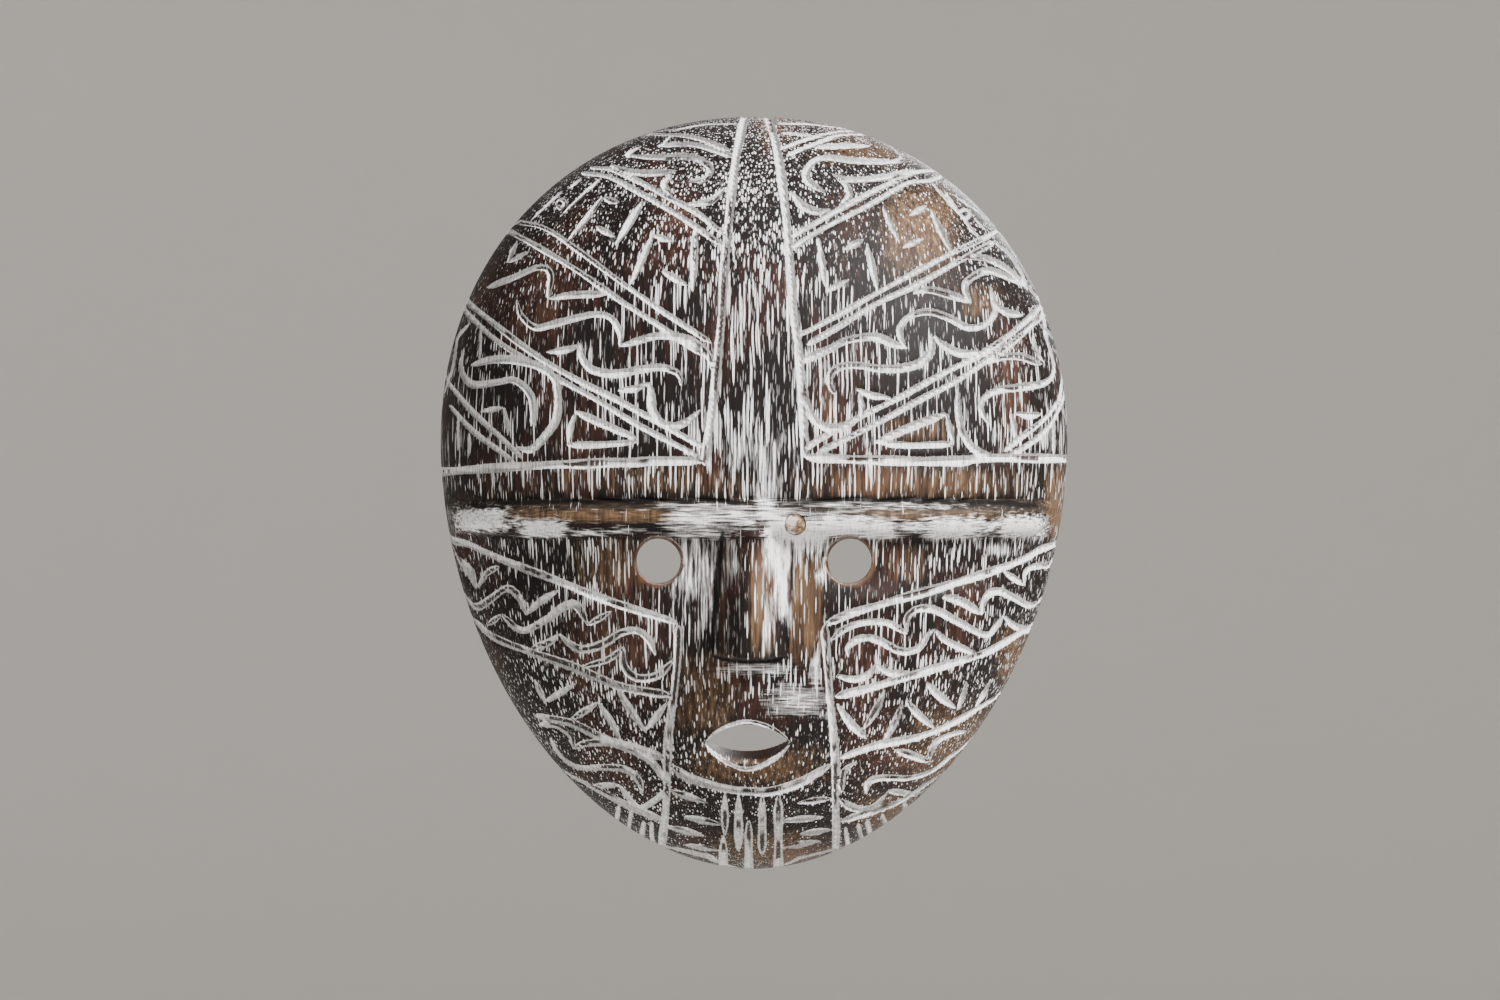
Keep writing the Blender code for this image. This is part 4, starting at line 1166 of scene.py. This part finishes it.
def limed_wood(mark_names):
    """Coarse tropical hardwood, gouged, stained almost black, limed and rubbed back.

    It gives the eye chalk-white streaks and lines, matt and a little proud, on satin near-black brown,
    with warm tan where the high places are rubbed through.
    """
    material, tree, shader = new_material("limed_stained_hardwood", IOR=1.5, Specular_IOR_Level=0.16)
    place = add(tree, "TexCoord", {}, give="Object")
    in_grain = add(tree, "Attribute", {}, give="Vector", attribute_name="grain_place")
    marks = {}
    for name in mark_names:
        marks[name] = add(tree, "Attribute", {}, give="Fac", attribute_name=name)

    # The grain runs up the block and wavers a little.
    waver = in_cells(tree, "TexNoise", place, 18.18, Detail=1.0).node.outputs["Color"]
    bent = add(
        tree, "VectorMath", {0: waver, 1: (0.0014, 0.0014, 0.0014), 2: in_grain},
        operation="MULTIPLY_ADD",
    )
    ragged = in_cells(tree, "TexNoise", in_grain, 0.3, 2.4, Detail=2.0)
    grain = in_cells(tree, "TexNoise", in_grain, 1.5, 30.0, Detail=3.0)

    # Wiped and rubbed patches are torn along the grain, or along the brow where that was scraped.
    level = in_cells(tree, "TexNoise", place, 11.11, 0.8333, 2.0, Detail=4.0, Roughness=0.6)
    upright = in_cells(tree, "TexNoise", bent, 0.9, 12.0, Detail=3.0)
    tear = add(tree, "Mix", {0: marks["sideways"], 2: upright, 3: level})
    tear = add(tree, "Math", {0: tear, 1: 0.5}, operation="SUBTRACT")
    smear = add(tree, "Math", {0: tear, 1: 1.7, 2: marks["smear"]}, operation="MULTIPLY_ADD")
    wiped = add(tree, "MapRange", {0: smear, 1: 0.45, 2: 0.62, 4: 0.9})
    haze = add(tree, "MapRange", {0: smear, 1: 0.22, 2: 0.5, 4: 0.34})
    wiped = add(tree, "Math", {0: wiped, 1: haze}, operation="MAXIMUM")

    torn = add(tree, "Math", {0: ragged, 1: 0.5}, operation="SUBTRACT")
    in_cuts, bare = cut_lime(tree, place, torn, marks)
    lime = pore_lime(tree, place, bent, ragged, marks)
    for layer in (in_cuts, wiped):
        lime = add(tree, "Math", {0: lime, 1: layer}, operation="MAXIMUM")
    # The lime is thinned along the crease lines as painted shade, and on the worn rims and lips.
    for mark, low, high, least in (("crease", 0.2, 0.7, 0.1), ("worn", 0.1, 0.8, 0.12)):
        kept = add(tree, "MapRange", {0: marks[mark], 1: low, 2: high, 3: 1.0, 4: least})
        lime = add(tree, "Math", {0: lime, 1: kept}, operation="MULTIPLY")

    wood = stained_wood(tree, place, grain, level, tear, marks)
    wood = add(tree, "Mix", {0: bare, 6: wood, 7: "#2c1a12"}, data_type="RGBA")
    wood = add(tree, "Mix", {0: marks["worn"], 6: wood, 7: "#553a29"}, data_type="RGBA")
    # Painted shade: the wood is darkened nearly to black along the crease lines.
    wood = toned(tree, marks["crease"], 0.1, 0.7, wood, "#080606", 0.92)
    thick = add(tree, "Math", {0: tear, 1: 1.1, 2: ragged}, operation="MULTIPLY_ADD")
    chalk = toned(tree, thick, 0.22, 0.6, "#a9a6a3", "#fdfcfb")
    finish = add(tree, "Mix", {0: lime, 6: wood, 7: chalk}, data_type="RGBA")

    rough = add(tree, "MapRange", {0: lime, 3: 0.6, 4: 0.9})
    gouge = add(tree, "Math", {0: marks["cut"], 1: 0.0}, operation="MINIMUM")
    dug = add(tree, "Bump", {"Height": gouge, "Strength": 1.0, "Distance": 0.0014})
    height = add(tree, "Math", {0: grain, 1: lime}, operation="SUBTRACT")
    bump = add(tree, "Bump", {"Height": height, "Strength": 0.3, "Distance": 0.0003, "Normal": dug})
    wire(tree, shader, {"Base Color": finish, "Roughness": rough, "Normal": bump})
    return material


def raw_wood():
    """The same hardwood, gouged and sawn and left bare.

    It gives the eye dry mid-brown grain with short dark pores, in shallow scoops that meet at ridges.
    """
    material, tree, shader = new_material("gouged_bare_hardwood", IOR=1.5, Roughness=0.78)
    place = add(tree, "TexCoord", {}, give="Object")
    grain = in_cells(tree, "TexNoise", place, 1.1, 25.0, Detail=4.0)
    wood = toned(tree, grain, 0.3, 0.7, "#5a3f2a", "#a5845f")
    handled = in_cells(tree, "TexNoise", place, 55.56, Detail=3.0)
    share = add(tree, "MapRange", {0: handled, 1: 0.4, 2: 0.75, 3: 0.05, 4: 0.6})
    wood = add(tree, "Mix", {0: share, 6: wood, 7: "#39271b"}, data_type="RGBA")
    pore = in_cells(tree, "TexVoronoi", place, 1.2, 15.0)
    pit = add(tree, "MapRange", {0: pore, 1: 0.28, 2: 0.2, 4: 0.8})
    wood = add(tree, "Mix", {0: pit, 6: wood, 7: "#21150d"}, data_type="RGBA")

    # Strokes of a broad flat gouge, 10 mm wide and 22 mm long. The sawn rim at the wall has none.
    stroke = in_cells(tree, "TexVoronoi", place, 10.0, 22.0, Randomness=0.8)
    stroke = add(tree, "Math", {0: stroke, 1: 2.0}, operation="POWER")
    off_wall = add(tree, "SeparateXYZ", {"Vector": place}, give="Y")
    inside = add(tree, "MapRange", {0: off_wall, 1: -0.0012, 2: -0.0003, 3: 1.0, 4: 0.0})
    scoop = add(tree, "Math", {0: stroke, 1: inside}, operation="MULTIPLY")
    scoops = add(tree, "Bump", {"Height": scoop, "Strength": 1.0, "Distance": 0.0045})
    height = add(tree, "Math", {0: grain, 1: pit}, operation="SUBTRACT")
    bump = add(tree, "Bump", {"Height": height, "Strength": 0.4, "Distance": 0.0003, "Normal": scoops})
    wire(tree, shader, {"Base Color": wood, "Normal": bump})
    return material


def plug_wood():
    """End grain of a light brown dowel, sawn flush and wiped with lime.

    It gives the eye a small tan disc with darker flecks, clouded with chalk.
    """
    material, tree, shader = new_material("limed_dowel_end", IOR=1.5, Roughness=0.72)
    place = add(tree, "TexCoord", {}, give="Object")
    fleck = in_cells(tree, "TexNoise", place, 1.4286, Detail=3.0)
    wood = toned(tree, fleck, 0.4, 0.62, "#4a3220", "#a78c6c")
    cloud = in_cells(tree, "TexNoise", place, 3.8462, Detail=4.0)
    finish = toned(tree, cloud, 0.5, 0.6, wood, "#d5d0c8", 0.8)
    bump = add(tree, "Bump", {"Height": fleck, "Strength": 0.35, "Distance": 0.0003})
    wire(tree, shader, {"Base Color": finish, "Normal": bump})
    return material


def plated_steel(name, bright, dull, roughness):
    """Pressed or drawn steel with a thin electroplated coat, mottled where it has aged.

    It gives the eye a soft metal gleam that breaks into duller, rougher clouds about 2 mm across.
    """
    material, tree, shader = new_material(name, Metallic=1.0)
    place = add(tree, "TexCoord", {}, give="Object")
    mottle = in_cells(tree, "TexNoise", place, 2.381, Detail=4.0)
    aged = add(tree, "MapRange", {0: mottle, 1: 0.4, 2: 0.72})
    finish = add(tree, "Mix", {0: aged, 6: bright, 7: dull}, data_type="RGBA")
    rough = add(tree, "MapRange", {0: aged, 3: roughness, 4: roughness + 0.25})
    bump = add(tree, "Bump", {"Height": mottle, "Strength": 0.15, "Distance": 0.0001})
    wire(tree, shader, {"Base Color": finish, "Roughness": rough, "Normal": bump})
    return material


def give_materials(block, mark_names):
    """Limed wood on the carved outside, raw wood in the hollow, the pocket and on the flat back."""
    mesh = block.data
    mesh.materials.clear()
    mesh.materials.append(limed_wood(mark_names))
    mesh.materials.append(raw_wood())
    count = len(mesh.polygons)
    centres = np.empty(count * 3)
    mesh.polygons.foreach_get("center", centres)
    centres = centres.reshape(-1, 3) / MM
    inner = (dome_value(centres) < OUTER) | (centres[:, 1] > -0.05)
    on_nose = (np.abs(centres[:, 0]) < NOSE_HALF[1] + 2) & (centres[:, 1] < -75)
    inner &= ~on_nose
    mesh.polygons.foreach_set("material_index", inner.astype(np.int32))
    mesh.shade_smooth()
    mesh.set_sharp_from_angle(angle=SHARP_ANGLE)


def dress_hardware():
    """Puts their finishes on the plug, the plate, the ring and the screws."""
    zinc = plated_steel("zinc_plated_steel", "#b9b9b4", "#8b8a84", 0.28)
    brassed = plated_steel("brassed_steel", "#c9a45a", "#8f6f35", 0.3)
    finishes = {
        "brow_plug": plug_wood(),
        "hanger_plate": zinc,
        "hanger_ring": zinc,
        "hanger_screw_left": brassed,
        "hanger_screw_right": brassed,
    }
    for name, finish in finishes.items():
        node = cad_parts[name]
        node.data.materials.clear()
        node.data.materials.append(finish)


def pale_paper():
    """Matt seamless paper, which gives the eye one plain pale tone with no shine."""
    material, _, shader = new_material("matt_seamless_paper", Roughness=0.9)
    shader.inputs["Base Color"].default_value = colour("#dad7d2")
    return material


def round_floor():
    """A round pale floor that sweeps up far away on all sides."""
    floor_z, reach, bend, top = -0.75, 3.6, 1.2, 4.0
    bend_steps = 16
    profile = [(0.0, floor_z), (reach - bend, floor_z)]
    for number in range(1, bend_steps + 1):
        angle = math.radians(90) * number / bend_steps
        out = reach - bend + bend * math.sin(angle)
        profile.append((out, floor_z + bend - bend * math.cos(angle)))
    profile.append((reach, top))
    bm = bmesh.new()
    verts = [bm.verts.new((out, 0, z)) for out, z in profile]
    edges = [bm.edges.new(pair) for pair in zip(verts, verts[1:])]
    bmesh.ops.spin(
        bm, geom=verts + edges, cent=(0, 0, 0), axis=(0, 0, 1), angle=2 * math.pi, steps=96,
        use_merge=True,
    )
    bmesh.ops.remove_doubles(bm, verts=bm.verts, dist=1e-5)
    floor = new_object("pale_floor", bm)
    floor.data.shade_smooth()
    floor.data.materials.append(pale_paper())


def stand_camera():
    """The camera, level, straight in front."""
    camera = bpy.data.cameras.new("camera")
    camera.sensor_width = SENSOR
    camera.lens = SENSOR * -CAMERA[1] / FRAME_WIDTH
    camera_object = bpy.data.objects.new("camera", camera)
    camera_object.location = Vector(CAMERA) * MM
    camera_object.rotation_euler = (math.radians(90), 0, 0)
    bpy.context.scene.collection.objects.link(camera_object)
    bpy.context.scene.camera = camera_object


def light_studio():
    """A small key lamp, a broad weak fill, a lamp behind, and a dim pale world."""
    target = Vector((0, -0.04, -0.14))
    lamps = {
        "key": ((0.95, -0.85, 0.8), 0.3, 80.0),
        "fill": ((-1.3, -1.1, 0.1), 1.2, 7.0),
        "back_light": ((0.55, 1.35, 0.45), 0.35, 20.0),
    }
    for name, (spot, size, power) in lamps.items():
        light = bpy.data.lights.new(name, "AREA")
        light.size = size
        light.energy = power
        lamp = bpy.data.objects.new(name, light)
        lamp.location = spot
        lamp.rotation_euler = (target - Vector(spot)).to_track_quat("-Z", "Y").to_euler()
        bpy.context.scene.collection.objects.link(lamp)
    world = bpy.data.worlds.new("studio")
    world.use_nodes = True
    world.node_tree.nodes["Background"].inputs["Color"].default_value = colour("#e8e6e3")
    world.node_tree.nodes["Background"].inputs["Strength"].default_value = 0.25
    bpy.context.scene.world = world


def main():
    cuts = cuts_for(ORNAMENT)
    shell = carved_shell(cuts)
    mark_names = paint_attributes(shell, cuts, cuts_for(PAINTED_SHADE_LINES))
    give_materials(shell, mark_names)
    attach(shell, "mask")
    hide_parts("mask_shell")
    dress_hardware()
    stand_camera()
    light_studio()
    round_floor()


main()
